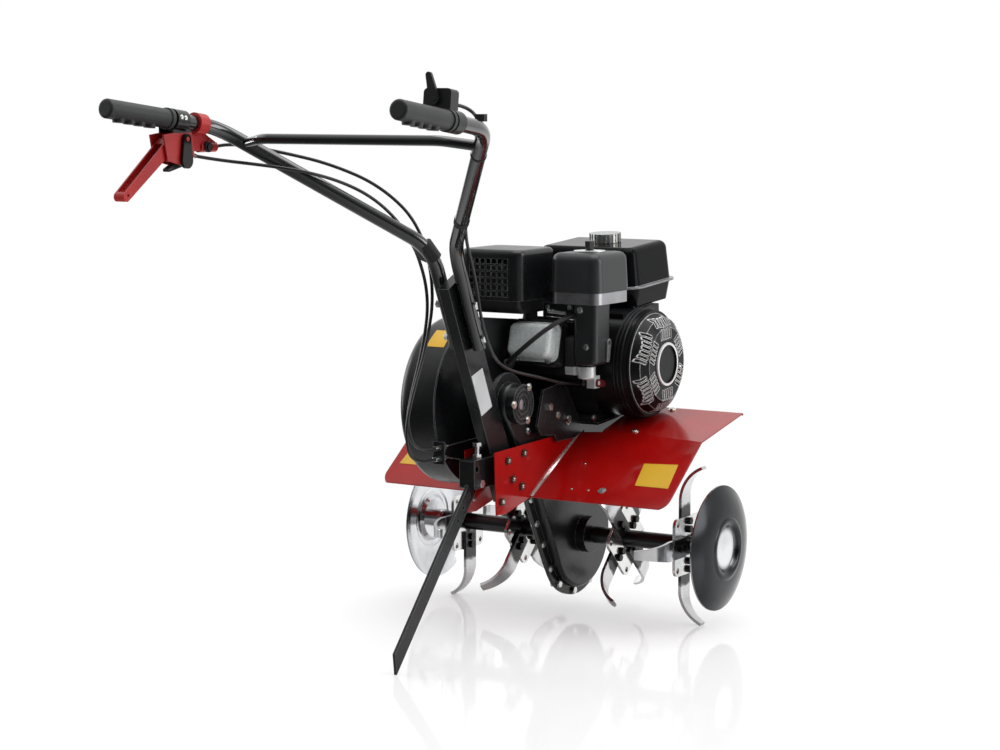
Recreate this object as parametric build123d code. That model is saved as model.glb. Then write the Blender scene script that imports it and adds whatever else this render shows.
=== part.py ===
"""Petrol garden tiller: tines under two fenders, chain case, belt drive, engine and steering handles."""

import math
import os

from build123d import *

os.makedirs("parts", exist_ok=True)

# Millimetres. X points to the machine's right, Y forward, Z up, with the ground at Z = 0.
# Outlines are drawn from the side as (Y, Z), measured from the ground point under the tine axle.

# Stance
AXLE_H = 155  # tine axle above the ground, which is also the tine radius

# Shafts, seen from the side: the crankshaft is measured from the input shaft
INPUT_BACK, INPUT_H = 262, 442
CRANK_AHEAD, CRANK_UP = 297, 56
AXLE = (0, AXLE_H)
INPUT = (-INPUT_BACK, INPUT_H)
CRANK = (INPUT[0] + CRANK_AHEAD, INPUT[1] + CRANK_UP)

# Fits
RUN = 0.05  # radial clearance of a running shaft
SEAT = 0.02  # radial clearance of a seated ring
GAP = 0.5  # room between pieces that move past each other

# Bolts and wires
BOLT_R = 4
HEAD_AF, HEAD_H, NUT_H = 13, 5.5, 6.5
SHANK_PAST = 6  # how far a short bolt reaches past its sheet
WIRE_R, WIRE_HOLE_R = 1, 2.5
CABLE_R = 3

# Chain case
CASE_HALF = 22  # depth of one half
CASE_WALL = 3
CASE_LOW_R, CASE_NECK_R, CASE_TOP_R = 106, 60, 40.5
CASE_NECK_AT = 190  # neck's distance from the axle
CASE_EDGE = 7
FLANGE_W, FLANGE_T = 17, 4
AXLE_BOSS_R, AXLE_BOSS_OUT = 36, 20
INPUT_BOSS_R, INPUT_BOSS_OUT = 38, 14
BOSS_RIB, BOSS_RIB_STEP = 2.5, 9

# Bearings, shafts and chain
AXLE_R = 12.5
AXLE_BEARING_R, AXLE_BEARING_W = 26, 15
INPUT_R = 10
INPUT_BEARING_R, INPUT_BEARING_W = 21, 12
CHAIN_PITCH = 15.875
AXLE_TEETH, INPUT_TEETH = 26, 10
CHAIN_INNER_W = 9.6
PLATE_T, PLATE_H = 1.8, 13
ROLLER_R = 5

# Belt drive
BELT_X = -94  # middle of the belt
BELT_W, BELT_T = 13, 8
DRIVEN_R, ENGINE_PULLEY_R = 122, 38
PULLEY_W, PULLEY_RIM = 20, 6
DRIVEN_HUB_R, ENGINE_HUB_R, ENGINE_HUB_OUT = 24, 20, 16
BACKPLATE_X, BACKPLATE_T = -57, 3
COVER_X = -141
COVER_T = 2
COVER_REAR_R, COVER_FRONT_R = 158, 72
COVER_EDGE = 20
GROOVE_DEPTH, GROOVE_HALF_ANGLE = 11, 19
BELT_LOW = 1  # top of the belt below the pulley rims
BELT_CLEAR = 0.35
INPUT_HOLE_R, PTO_HOLE_R = 14, 34
IDLER_ALONG, IDLER_DROP = 110, 22.7  # its pivot, along and below the line from input shaft to crankshaft
IDLER_ARM, IDLER_ANGLE = 55, -12.7  # arm's length, and its direction from that line
IDLER_R, IDLER_W, IDLER_FLANGE, IDLER_FLANGE_T = 24, 17, 4, 3
IDLER_LEVER, IDLER_LEVER_ANGLE = 62, 254.3
IDLER_PIN_OUT = 2
REVERSE_AT, REVERSE_LEVER, REVERSE_LEVER_ANGLE = 126.6, 42, 235  # its place is from the input shaft
ARM_T, ARM_R, ARM_TIP_R, ARM_OFF = 5, 9, 6, 3
PIVOT_R = 6
ADJUSTER_BACK, ADJUSTER_DROPS, ADJUSTER_X = 158, (68, 88), -46  # behind and below the input shaft
ADJUSTER_R, ADJUSTER_LONG, ADJUSTER_NUT = 4.5, 36, 14
EAR_PAST = 11  # how far the backplate's ear reaches past the adjusters

# Handle column, hitch and drag bar, hung from the height of the input shaft
COLUMN_W, COLUMN_D = 22, 60
COLUMN_LEAN = 24.6
COLUMN_FOOT = (-262, INPUT_H - 172)
COLUMN_LONG = 455
COLUMN_T = 3
SOCKET_HALF_W, SOCKET_REAR, SOCKET_LOW, SOCKET_TOP = 16, -400, INPUT_H - 144, INPUT_H - 90
SOCKET_EDGE = 5
SET_BOLT_Y, SET_BOLT_R, SET_BOLT_AF, SET_BOLT_IN, SET_BOLT_OUT = -365, 5, 16, 6, 22
HITCH_BORE = (-390, INPUT_H - 107)  # free cross hole for a hitch pin
HITCH_BORE_R = 6
BAR_W, BAR_T = 29, 6
BAR_THROUGH, BAR_ANGLE = (-400, INPUT_H - 159), 47.7  # a point on the bar's line, and its slope
BAR_UP = 70  # its length above that point
BAR_PIN = 32  # pin's place along the bar, from that point
BAR_HOLE_STEP, BAR_HOLES = 28, 4
BAR_HEEL_H = 38  # rear corner of its cut end above the ground

# Fenders, with heights measured from the input shaft
FENDER_T = 2
FENDER_IN, FENDER_OUT = 33, 315
FENDER_LIP, FENDER_FRONT = (108, -43), (106, -39)
FENDER_CREASE_IN, FENDER_CREASE_OUT = (-25, -71), (-71, -74)
FENDER_LOW_IN, FENDER_LOW_OUT = (-228, -180), (-219, -181)
FENDER_REAR = [(-318, -200), (-350, -198), (-357, -80)]  # rear corners of the upright plate
FENDER_CORNER_R = 26
FENDER_BOLTS = [(-254, -93), (-312, -100), (-294, -137), (-262, -155), (-334, -174)]
FENDER_ROOM = 2  # room round the belt cover and the shift shaft
NOTCH_TO, NOTCH_REAR = 84, -40  # cut-out of the inner front corner, for the engine mount

# Engine mount, with heights measured from the input shaft
MOUNT_T, MOUNT_IN = 5, 36
MOUNT_PLATE_X, MOUNT_PLATE_Y = (-54, 80), (-92, 107)
MOUNT_TOP = [(-200, -66), (-214, -46), (-192, 20), (-112, 28), (-48, -58), (128, -46)]
MOUNT_LOW = [(128, -90), (-34, -97), (-34, -73), (-70, -85), (-140, -85), (-152, -70)]
MOUNT_BOLTS = [(-171, -14), (-102, -45)]

# Engine, in its own frame: origin on the crankshaft's line, tipped up at the front
ENGINE_TILT = 4
PTO_X, FLYWHEEL_X = -52, 70
CRANK_R, CRANK_OUT = 12.5, 60
CRANKCASE_Y, CRANKCASE_TOP, CRANKCASE_R = (-72, 95), 72, 14
BASE_Y, BASE_Z, BASE_T, BASE_LIP = (-90, 105), -106, 12, 2
CYLINDER_RISE = 19  # cylinder's line above level, towards the rear
CYLINDER_X, CYLINDER_W, CYLINDER_FROM = -1, 84, 50
FIN_W, FIN_T, FIN_STEP, FINS = 110, 2.5, 9, 11
FIN_FROM, HEAD_FROM, HEAD_TO, ROCKER_TO = 68, 166, 190, 222
HEAD_WIDE, HEAD_TALL, HEAD_CORNER_R = 104, 88, 10
ROCKER_W, ROCKER_H, ROCKER_LIP, ROCKER_LIP_T = 104, 76, 6, 5
ROCKER_CORNER_R, ROCKER_EDGE = 16, 9
FAN_R, FAN_T, FAN_TO = 105, 3, 150
FAN_BOX_Y, FAN_BOX_Z, FAN_BOX_TO = (-50, 100), (2, 102), 118
RECOIL_R, RECOIL_TO, RECOIL_FACE_R, RECOIL_T = 97, 188, 72, 3
RECOIL_RIM, RECOIL_RIM_T, RECOIL_SHOULDER = 6, 5, (11, 7)
RECOIL_RING, RECOIL_RING_H = (36, 42), 3
GRILLE_SECTORS, GRILLE_PITCH, GRILLE_SLOT_W = 6, 9, 5
GRILLE_BANDS = [(49, 69, 2), (74, 90, 3)]  # inner and outer radius, slots on each side of the middle one
FLYWHEEL_R, FLYWHEEL_IN, FLYWHEEL_T = 82, 12, 18
FLYWHEEL_HUB_R, FLYWHEEL_HUB_H = 24, 20
VANES, VANE_AT, VANE_LONG, VANE_T, VANE_H = 16, 68, 26, 3, 25
TANK_X, TANK_Y, TANK_SEAM, TANK_LOW, TANK_TOP = (-105, 120), (-5, 165), 145, 105, 222
TANK_LIP, TANK_T, TANK_TAPER, TANK_LOW_TAPER = 8, 2, 5, 12
TANK_CORNER_R, TANK_TOP_R = 26, 16
NECK_R, NECK_H = 22, 5
CAP_X, CAP_Y, CAP_R, CAP_H, CAP_RIB, CAP_RIBS = 10, 84, 31.5, 18, 3, 24
STARTER_X, STARTER_OUT, STARTER_RISE = 134, 3, 12
STARTER_GRIP, STARTER_R, STARTER_STUB_R, STARTER_STUB = (36, 14, 18), 4, 5, 2.5

# Engine fittings, measured from the crankshaft's line
SHEET_T = 2
MUFFLER_X, MUFFLER_Y, MUFFLER_Z = (-135, -10), (-235, -107), (104, 210)
MUFFLER_R, MUFFLER_END_R = 26, 8
PORT_X, PORT_Y, PORT_R, PORT_LONG = -28, -160, 14, 30
GUARD_OUT, GUARD_T, GUARD_UP, GUARD_OVER = 7, 2, 26, 17
GUARD_CORNER_R, GUARD_TOP_R = 22, 10
GUARD_HOLE, GUARD_STEP, GUARD_ROWS, GUARD_COLUMNS = 9.5, 12.5, 6, 7
ELBOW_X, ELBOW_Y, ELBOW_LOW, ELBOW_H, ELBOW_R = (74, 124), (-175, -115), 8, 118, 9
CLEANER_X, CLEANER_Y, CLEANER_CORNER_R = (32, 142), (-200, -67), 22
TRAY_H, CLEANER_H, CLEANER_LIP, CLEANER_TAPER, CLEANER_TOP_R = 22, 74, 1, 3, 16
STUD_R, STUD_OUT = 4, 14
WASHER_R, WASHER_T = 30, 2
KNOB_R, KNOB_H, KNOB_NECK_R, KNOB_NECK_H = 10, 14, 8, 6
CARBURETTOR_Y, CARBURETTOR_Z, CARBURETTOR_R = (-169, -123), (-13, 62), 8
BOWL_X, BOWL_Y, BOWL_R, BOWL_Z = 89, -146, 17, (-20, 4)
COCK_Y, COCK_LOW = (-146, -125), -38
GOVERNOR_X, GOVERNOR_PIVOT, GOVERNOR_TIP = 60, (-97, -2), (-109, -34)
GOVERNOR_PLATE = [(-109, -14), (-109, 10), (-71, 14), (-67, -20)]
CHOKE_PIVOT, CHOKE_TIP = (-127, 50), (-131, 18)
FUEL_PIVOT, FUEL_TIP = (-135, -28), (-113, -32)
LEVER_T, LEVER_EYE_R, LEVER_END_R = 3, 7.5, 5.5
PIN_R, PIN_IN = 4, 2

# Handles
TUBE_R, TUBE_T = 13, 2
TUBE_X = COLUMN_W / 2 + TUBE_R
TUBE_OVERLAP, HANDLE_BOLT_DROPS = 124, (106, 44)  # below the top of the column
TUBE_BEND_Z = 743
ARM_END = (273, -778, 961.5)
GRIP_END = (287, -1052, 995)
TUBE_BEND_R = 110
CROSS_R, CROSS_BEND_R = 9, 60
CROSS_BEND = (182, -768, 942)
CROSS_WELD = 0.87  # where the cross tube meets the arm, as a share of the arm
GRIP_R, GRIP_LONG, GRIP_CAP, GRIP_END_R = 16.5, 155, 4, 5
GRIP_COLLAR, GRIP_COLLAR_W = 2, 8
RIDGES, RIDGE_FROM, RIDGE_STEP, RIDGE_H, RIDGE_TIP_R, RIDGE_DROP = 4, 34, 25, 28, 10, 6

# Controls
CLAMP_T = 5.5
LEVER_X = -287  # middle of the clutch lever
LEVER_PIVOT, LEVER_TIP = (-899, 932), (-1013, 849)
LEVER_HALF_W, LEVER_R, LEVER_TIP_R, LEVER_SHEET = 11, 12, 8, 3
EAR_IN, EAR_T = 12.5, 3.5
BRACKET_OUTLINE = [(-922, 950), (-896, 953), (-896, 972), (-852, 966), (-842, 912), (-862, 895), (-912, 906)]
BRACKET_WEB = [(-852, 957), (-848, 957), (-840, 912), (-844, 912)]
CLUTCH_CLAMP_Y, CLUTCH_CLAMP_W = -878, 30
PADDLE_PIVOT, PADDLE_TIP = (-866, 942), (-866, 906)
PADDLE_EYE_R, PADDLE_R, PADDLE_T = 9, 14, 6
TRIGGER_PIVOT, TRIGGER_TIP = (-857, 903), (-896, 890)
TRIGGER_R, TRIGGER_TIP_R, TRIGGER_HALF_W, TRIGGER_PIN_R = 7, 3, 6, 3
BARREL_Y, BARREL_Z, BARREL_R, BARREL_ASIDE = (-812, -767), 927, 9, 1
REVERSE_OUTLINE = [(-836, 952), (-800, 950), (-772, 936), (-772, 922), (-836, 920)]
REVERSE_BRACKET_W, REVERSE_CLAMP_Y, REVERSE_CLAMP_W = 12, -824, 24
THROTTLE_AHEAD = 172  # middle of the throttle clamp, from the rear end of the grip
THROTTLE_BOX_X, THROTTLE_BOX_Z, THROTTLE_BOX_W, THROTTLE_BOX_R = (-50, 0), (8, 52), 25, 7
THROTTLE_PIVOT, THROTTLE_TIP = (-28, 34), (-40, 72)
THROTTLE_R, THROTTLE_TIP_R, THROTTLE_T = 9, 5, 6

# Rotor
HUB_R, HUB_T = 16.5, 3.5
HUB_IN, HUB_OUT = 46, 300
SET_X = (112, 247)
SET_TURN = (135, 0)
PLATE_SIDE, PLATE_THICK, PLATE_CORNER = 112, 6, 14
SPARE_HOLE_AT, SPARE_HOLE_R = 62.7, 5.5  # free holes in the corners of the plates
BLADE_W, BLADE_THICK = 38, 6
BLADE_ROOT = 20  # where the blade starts, from the axle
BLADE_BEND = 92  # where the blade starts to curve, from the axle
BLADE_TURN = 68  # how far the tip turns sideways
BLADE_TIP_W = 16
BLADE_BOLT_AT = (31, 47)
DISC_R, DISC_X, DISC_T, DISC_BOSS = 120.5, 319.6, 3, 2
DISH, RECESS = 18, 12
RING_R, RING_W, RING_H = 54, 7, 2


def yz(sketch, x0, x1):
    """Solid of a side outline between two places across the machine."""
    return extrude(Plane.YZ.offset(min(x0, x1)) * sketch, amount=abs(x1 - x0))


def side_yz(sketch, a, b, side):
    """The same, from a to b outwards from the middle plane, on the right (1) or the left (-1)."""
    return yz(sketch, side * a, side * b)


def at(point, sketch):
    return Pos(point[0], point[1]) * sketch


def ring(point, r, bore=0):
    """Disc or ring about a point of the side view."""
    outline = at(point, Circle(r))
    return outline - at(point, Circle(bore)) if bore else outline


def capsule(p, rp, q, rq):
    """Outline of two circles and their outer tangents."""
    return make_hull(ring(p, rp).edges() + ring(q, rq).edges())


def towards(p, q, distance):
    share = distance / math.dist(p, q)
    return (p[0] + (q[0] - p[0]) * share, p[1] + (q[1] - p[1]) * share)


def polar(point, r, angle):
    """Point at r and angle (degrees from straight ahead, upwards) about a point of the side view."""
    return (point[0] + r * math.cos(math.radians(angle)), point[1] + r * math.sin(math.radians(angle)))


def by_input(points):
    """Side-view points whose heights are measured from the input shaft."""
    return [(y, INPUT_H + z) for y, z in points]


def block_between(x, y, z):
    """Box between pairs of limits."""
    middle = Pos((x[0] + x[1]) / 2, (y[0] + y[1]) / 2, (z[0] + z[1]) / 2)
    return middle * Box(x[1] - x[0], y[1] - y[0], z[1] - z[0])


def solids(shapes):
    """Several separate solids kept together."""
    return Compound([solid for shape in shapes for solid in shape.solids()])


PIECES = {}


def save(name, shape):
    PIECES[name] = shape


def hex_bolt(point, x, side, length, af=HEAD_AF, head=HEAD_H, r=BOLT_R):
    """Hexagon bolt across the machine: its head stands on the plane x, its shank goes the other way."""
    cap = side_yz(at(point, RegularPolygon(af / 2, 6, major_radius=False)), side * x, side * x + head, side)
    return cap + side_yz(ring(point, r), side * x - length, side * x, side)


# Chain case: two stamped halves with a bolted flange, and bosses for the two shafts

NECK = towards(AXLE, INPUT, CASE_NECK_AT)


def case_outline(grow):
    low = capsule(AXLE, CASE_LOW_R + grow, NECK, CASE_NECK_R + grow)
    return low + capsule(NECK, CASE_NECK_R + grow, INPUT, CASE_TOP_R + grow)


def boss_ribs(point, r, x, side):
    """Concentric ribs on the face of a boss."""
    rings = []
    radius = r
    while radius > r / 2:
        rings.append(side_yz(ring(point, radius, radius - BOSS_RIB), x, x + BOSS_RIB, side))
        radius -= BOSS_RIB_STEP
    return rings


def case_half(side):
    shell = side_yz(case_outline(0), 0, CASE_HALF, side)
    rim = shell.faces().sort_by(Axis.X)[-1 if side > 0 else 0]
    shell = fillet(rim.edges(), CASE_EDGE)
    shell += side_yz(case_outline(FLANGE_W), 0, FLANGE_T, side)
    shell += side_yz(ring(AXLE, AXLE_BOSS_R), 0, CASE_HALF + AXLE_BOSS_OUT, side)
    shell += side_yz(ring(INPUT, INPUT_BOSS_R), 0, CASE_HALF + INPUT_BOSS_OUT, side)
    for rib in boss_ribs(INPUT, INPUT_BOSS_R, CASE_HALF + INPUT_BOSS_OUT, side):
        shell += rib
    shell -= side_yz(case_outline(-CASE_WALL), 0, CASE_HALF - CASE_WALL, side)
    shell -= side_yz(ring(AXLE, AXLE_R + GAP), 0, CASE_HALF + AXLE_BOSS_OUT, side)
    shell -= side_yz(ring(AXLE, AXLE_BEARING_R + SEAT), 0, AXLE_BEARING_OUT, side)
    shell -= side_yz(ring(INPUT, INPUT_R + GAP), 0, CASE_HALF + INPUT_BOSS_OUT + BOSS_RIB, side)
    shell -= side_yz(ring(INPUT, INPUT_BEARING_R + SEAT), 0, INPUT_BEARING_OUT, side)
    if side < 0:
        shell -= side_yz(ring(REVERSE_PIVOT, PIVOT_R + RUN), CASE_HALF - CASE_WALL, CASE_HALF, side)
    for point in CASE_BOLTS:
        shell -= side_yz(ring(point, BOLT_R + SEAT), 0, FLANGE_T, side)
    return shell - column_room()


def column_room():
    """Space that the handle column takes, with a little clearance."""
    return column_bar(COLUMN_W + 2 * GAP, COLUMN_D + 2 * GAP)


def column_bar(width, depth):
    """Straight bar on the column's line."""
    middle = Pos(0, COLUMN_FOOT[0], COLUMN_FOOT[1]) * Rot(COLUMN_LEAN, 0, 0)
    return middle * Pos(0, 0, COLUMN_LONG / 2) * Box(width, depth, COLUMN_LONG)


REVERSE_PIVOT = towards(INPUT, AXLE, REVERSE_AT)
AXLE_BEARING_OUT = CASE_HALF + AXLE_BOSS_OUT - CASE_WALL
INPUT_BEARING_OUT = CASE_HALF + INPUT_BOSS_OUT - CASE_WALL
FLANGE_BOLT_R = CASE_LOW_R + FLANGE_W / 2
CASE_AXIS = math.degrees(math.atan2(INPUT_H - AXLE_H, -INPUT_BACK))
CASE_BOLTS = [polar(AXLE, FLANGE_BOLT_R, CASE_AXIS + 180 + turn) for turn in (-80, -48, -16, 16, 48, 80)]
upper_at = (CASE_NECK_AT + math.dist(AXLE, INPUT)) / 2
for spot, wide in ((CASE_NECK_AT, CASE_NECK_R), (upper_at, (CASE_NECK_R + CASE_TOP_R) / 2)):
    middle = towards(AXLE, INPUT, spot)
    CASE_BOLTS += [polar(middle, wide + FLANGE_W * 0.6, CASE_AXIS + turn) for turn in (-90, 90)]

save("chain_case_right", case_half(1))
save("chain_case_left", case_half(-1))


# Shafts, bearings and chain inside the case


def bearings(point, r, bore, width, out):
    """One bearing in each half, against the end of its boss."""
    return [side_yz(ring(point, r, bore + RUN), out - width, out, side) for side in (1, -1)]


def pitch_r(teeth):
    return CHAIN_PITCH / (2 * math.sin(math.pi / teeth))


def sprocket(point, teeth):
    """Toothed disc between the chain's side plates."""
    step = 360 / teeth
    tip, root = pitch_r(teeth) + ROLLER_R * 0.8, pitch_r(teeth) - ROLLER_R
    corners = []
    for tooth in range(teeth):
        for r, turn in ((root, -0.3), (tip, -0.07), (tip, 0.07), (root, 0.3)):
            corners.append(polar(point, r, (tooth + turn) * step))
    half = CHAIN_INNER_W / 2 - GAP
    return yz(make_face(Polyline(*corners, close=True)), -half, half)


def drive_chain():
    """Two rows of side plates round the sprockets, tied by the pins of the straight runs."""
    low, top = pitch_r(AXLE_TEETH), pitch_r(INPUT_TEETH)
    band = capsule(AXLE, low + PLATE_H / 2, INPUT, top + PLATE_H / 2)
    band -= capsule(AXLE, low - PLATE_H / 2, INPUT, top - PLATE_H / 2)
    inner, outer = CHAIN_INNER_W / 2, CHAIN_INNER_W / 2 + PLATE_T
    chain = yz(band, inner, outer) + yz(band, -outer, -inner)
    lean = 90 - math.degrees(math.asin((low - top) / math.dist(AXLE, INPUT)))
    for turn in (CASE_AXIS + lean, CASE_AXIS - lean):
        start, end = polar(AXLE, low, turn), polar(INPUT, top, turn)
        pins = int(math.dist(start, end) / CHAIN_PITCH) - 2
        for pin in range(4, pins, 2):
            chain += yz(ring(towards(start, end, pin * CHAIN_PITCH), ROLLER_R), -inner, inner)
    return chain


tine_shaft = yz(ring(AXLE, AXLE_R), -HUB_OUT, HUB_OUT) + sprocket(AXLE, AXLE_TEETH)
save("tine_shaft", tine_shaft)
INPUT_LEFT = BELT_X - PULLEY_W / 2
input_shaft = yz(ring(INPUT, INPUT_R), INPUT_LEFT, INPUT_BEARING_OUT) + sprocket(INPUT, INPUT_TEETH)
save("input_shaft", input_shaft)
save("drive_chain", drive_chain())
axle_bearings = bearings(AXLE, AXLE_BEARING_R, AXLE_R, AXLE_BEARING_W, AXLE_BEARING_OUT)
input_bearings = bearings(INPUT, INPUT_BEARING_R, INPUT_R, INPUT_BEARING_W, INPUT_BEARING_OUT)
save("shaft_bearings", solids(axle_bearings + input_bearings))


# Belt drive on the left: two grooved pulleys, belt, cover, backplate, idler and reverse arm


def spun(point, outline):
    """Outline of (X, radius) points turned about the crosswise line through a point of the side view."""
    return Pos(0, *point) * revolve(make_face(Polyline(*outline, close=True)), Axis.X)


BELT_HEADING = math.degrees(math.atan2(CRANK[1] - INPUT[1], CRANK[0] - INPUT[0]))
IDLER_PIVOT = polar(polar(INPUT, IDLER_ALONG, BELT_HEADING), IDLER_DROP, BELT_HEADING - 90)
IDLER_HUB = polar(IDLER_PIVOT, IDLER_ARM, BELT_HEADING + IDLER_ANGLE)
ADJUSTER_Y = INPUT[0] - ADJUSTER_BACK
ADJUSTER_ZS = [INPUT[1] - drop for drop in ADJUSTER_DROPS]


def pulley(point, r, bore, hub_r, hub_from, hub_to):
    """Grooved pulley with a thin web and a hub."""
    spread = GROOVE_DEPTH * math.tan(math.radians(GROOVE_HALF_ANGLE))
    lip = BELT_W / 2 + BELT_CLEAR
    floor_r = r - GROOVE_DEPTH
    rim_r = floor_r - PULLEY_RIM
    half = PULLEY_W / 2
    groove = [(lip, r), (lip - spread, floor_r), (spread - lip, floor_r), (-lip, r)]
    rim = [(-half, r), (-half, rim_r), (half, rim_r), (half, r)]
    wheel = spun(point, [(BELT_X + x, y) for x, y in groove + rim])
    web = yz(ring(point, floor_r - PULLEY_RIM / 2), BELT_X - PULLEY_RIM / 2, BELT_X + PULLEY_RIM / 2)
    wheel += web + yz(ring(point, hub_r), hub_from, hub_to)
    return wheel - yz(ring(point, bore), hub_from, hub_to)


def belt_section(point, r, angle):
    """Tapered belt section at an angle round a pulley, with its wide side outwards."""
    rim = polar(point, r, angle)
    ahead = polar((0, 0), 1, angle + 90)
    place = Plane(origin=(BELT_X, *rim), x_dir=(1, 0, 0), z_dir=(0, *ahead))
    slope = math.tan(math.radians(GROOVE_HALF_ANGLE))
    wide = BELT_W / 2 - BELT_LOW * slope
    narrow = wide - BELT_T * slope
    corners = [(-wide, 0), (wide, 0), (narrow, -BELT_T), (-narrow, -BELT_T)]
    return place * make_face(Polyline(*corners, close=True))


def drive_belt():
    """Belt round both pulleys: two wraps joined by two straight runs."""
    big, small = DRIVEN_R - BELT_LOW, ENGINE_PULLEY_R - BELT_LOW
    apart = math.dist(INPUT, CRANK)
    lean = math.degrees(math.acos((big - small) / apart))
    run = math.sqrt(apart**2 - (big - small) ** 2)
    upper, lower = BELT_HEADING + lean, BELT_HEADING - lean
    belt = revolve(belt_section(INPUT, big, upper), Axis((0, *INPUT), (1, 0, 0)), 360 - 2 * lean)
    belt += revolve(belt_section(CRANK, small, lower), Axis((0, *CRANK), (1, 0, 0)), 2 * lean)
    belt += extrude(belt_section(INPUT, big, upper), amount=-run)
    belt += extrude(belt_section(INPUT, big, lower), amount=run)
    return belt


def cover_outline(grow):
    return capsule(INPUT, COVER_REAR_R + grow, CRANK, COVER_FRONT_R + grow)


def belt_cover():
    rim_x = BACKPLATE_X - BACKPLATE_T
    outer = yz(cover_outline(0), COVER_X, rim_x)
    outer = fillet(outer.faces().sort_by(Axis.X)[0].edges(), COVER_EDGE)
    inner = yz(cover_outline(-COVER_T), COVER_X + COVER_T, rim_x)
    inner = fillet(inner.faces().sort_by(Axis.X)[0].edges(), COVER_EDGE - COVER_T)
    return outer - inner


def belt_backplate():
    """Flat plate behind the belt, with an ear at the rear that holds the cable adjusters."""
    left, right = BACKPLATE_X - BACKPLATE_T, BACKPLATE_X
    plate = yz(cover_outline(0), left, right)
    top, low = max(ADJUSTER_ZS) + EAR_PAST, min(ADJUSTER_ZS) - EAR_PAST
    ear = Pos((ADJUSTER_Y + INPUT[0]) / 2, (top + low) / 2) * Rectangle(INPUT[0] - ADJUSTER_Y, top - low)
    ear = yz(ear, left, right) - yz(ring(INPUT, COVER_REAR_R - COVER_T), left, right)
    shelf = Pos(ADJUSTER_Y, (top + low) / 2) * Rectangle(BACKPLATE_T, top - low)
    plate += ear + yz(shelf, left, ADJUSTER_X + EAR_PAST)
    plate -= yz(ring(INPUT, INPUT_HOLE_R) + ring(CRANK, PTO_HOLE_R), left, right)
    plate -= yz(ring(IDLER_PIVOT, PIVOT_R + RUN), left, right)
    for z in ADJUSTER_ZS:
        plate -= Pos(ADJUSTER_X, ADJUSTER_Y, z) * Rot(90, 0, 0) * Cylinder(ADJUSTER_R + SEAT, 2 * BACKPLATE_T)
    return plate


def cable_adjusters():
    """Threaded barrels through the ear, each with a hexagon nut against it."""
    barrels = []
    nut = extrude(RegularPolygon(ADJUSTER_NUT / 2, 6, major_radius=False), amount=NUT_H)
    for z in ADJUSTER_ZS:
        place = Pos(ADJUSTER_X, ADJUSTER_Y, z) * Rot(-90, 0, 0)
        barrel = Cylinder(ADJUSTER_R, ADJUSTER_LONG) + Pos(0, 0, BACKPLATE_T / 2) * nut
        barrels.append(place * (barrel - Cylinder(WIRE_R, ADJUSTER_LONG)))
    return solids(barrels)


def idler_arm():
    """Arm inside the cover and lever outside it, on one pivot through the backplate."""
    inside = BACKPLATE_X - BACKPLATE_T - ARM_OFF
    outside = BACKPLATE_X + ARM_OFF
    tip = polar(IDLER_PIVOT, IDLER_LEVER, BELT_HEADING + IDLER_LEVER_ANGLE)
    arm = yz(capsule(IDLER_PIVOT, ARM_R + ARM_OFF, IDLER_HUB, ARM_R), inside - ARM_T, inside)
    arm += yz(capsule(IDLER_PIVOT, ARM_R, tip, ARM_TIP_R), outside, outside + ARM_T)
    arm += yz(ring(IDLER_PIVOT, PIVOT_R), inside, outside)
    arm += yz(ring(IDLER_HUB, PIVOT_R), BELT_X - IDLER_W / 2 - IDLER_PIN_OUT, inside)
    return arm - yz(ring(tip, WIRE_HOLE_R), outside, outside + ARM_T)


def idler_pulley():
    """Flanged roller on the arm's pin."""
    half = IDLER_W / 2
    rim_r = IDLER_R + IDLER_FLANGE
    inner = IDLER_FLANGE_T - half
    outline = [(-half, PIVOT_R + RUN), (-half, rim_r), (inner, rim_r), (inner, IDLER_R)]
    outline += [(-x, y) for x, y in reversed(outline)]
    return spun(IDLER_HUB, [(BELT_X + x, y) for x, y in outline])


def reverse_arm():
    """Short lever on the shift shaft of the left case half."""
    tip = polar(REVERSE_PIVOT, REVERSE_LEVER, REVERSE_LEVER_ANGLE)
    outside = BACKPLATE_X + ARM_OFF
    arm = yz(capsule(REVERSE_PIVOT, ARM_R, tip, ARM_TIP_R), outside, outside + ARM_T)
    arm += yz(ring(REVERSE_PIVOT, PIVOT_R), outside + ARM_T, CASE_WALL - CASE_HALF)
    return arm - yz(ring(tip, WIRE_HOLE_R), outside, outside + ARM_T)


HUB_LEFT, HUB_RIGHT = BELT_X - PULLEY_W / 2, BELT_X + PULLEY_W / 2
save("driven_pulley", pulley(INPUT, DRIVEN_R, INPUT_R + SEAT, DRIVEN_HUB_R, HUB_LEFT, HUB_RIGHT))
save("drive_belt", drive_belt())
save("belt_cover", belt_cover())
save("belt_backplate", belt_backplate())
save("cable_adjusters", cable_adjusters())
save("idler_arm", idler_arm())
save("idler_pulley", idler_pulley())
save("reverse_arm", reverse_arm())


# Tine rotor: hub tubes with welded plates, curved blades, bolts and soil discs


def hub_tube(side):
    tube = side_yz(ring(AXLE, HUB_R, HUB_R - HUB_T), HUB_IN, HUB_OUT, side)
    for x, turn in zip(SET_X, SET_TURN):
        square = fillet(Rectangle(PLATE_SIDE, PLATE_SIDE).vertices(), PLATE_CORNER)
        for quarter in range(4):
            for out in BLADE_BOLT_AT:
                spot = polar((0, 0), out, quarter * 90)
                square -= Pos(*spot) * Circle(BOLT_R + SEAT)
        for corner in range(4):
            square -= Pos(*polar((0, 0), SPARE_HOLE_AT, 45 + corner * 90)) * Circle(SPARE_HOLE_R)
        plate = at(AXLE, Rot(0, 0, turn) * (square - Circle(HUB_R - HUB_T)))
        tube += side_yz(plate, x, x + PLATE_THICK, side)
    return tube


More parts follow.
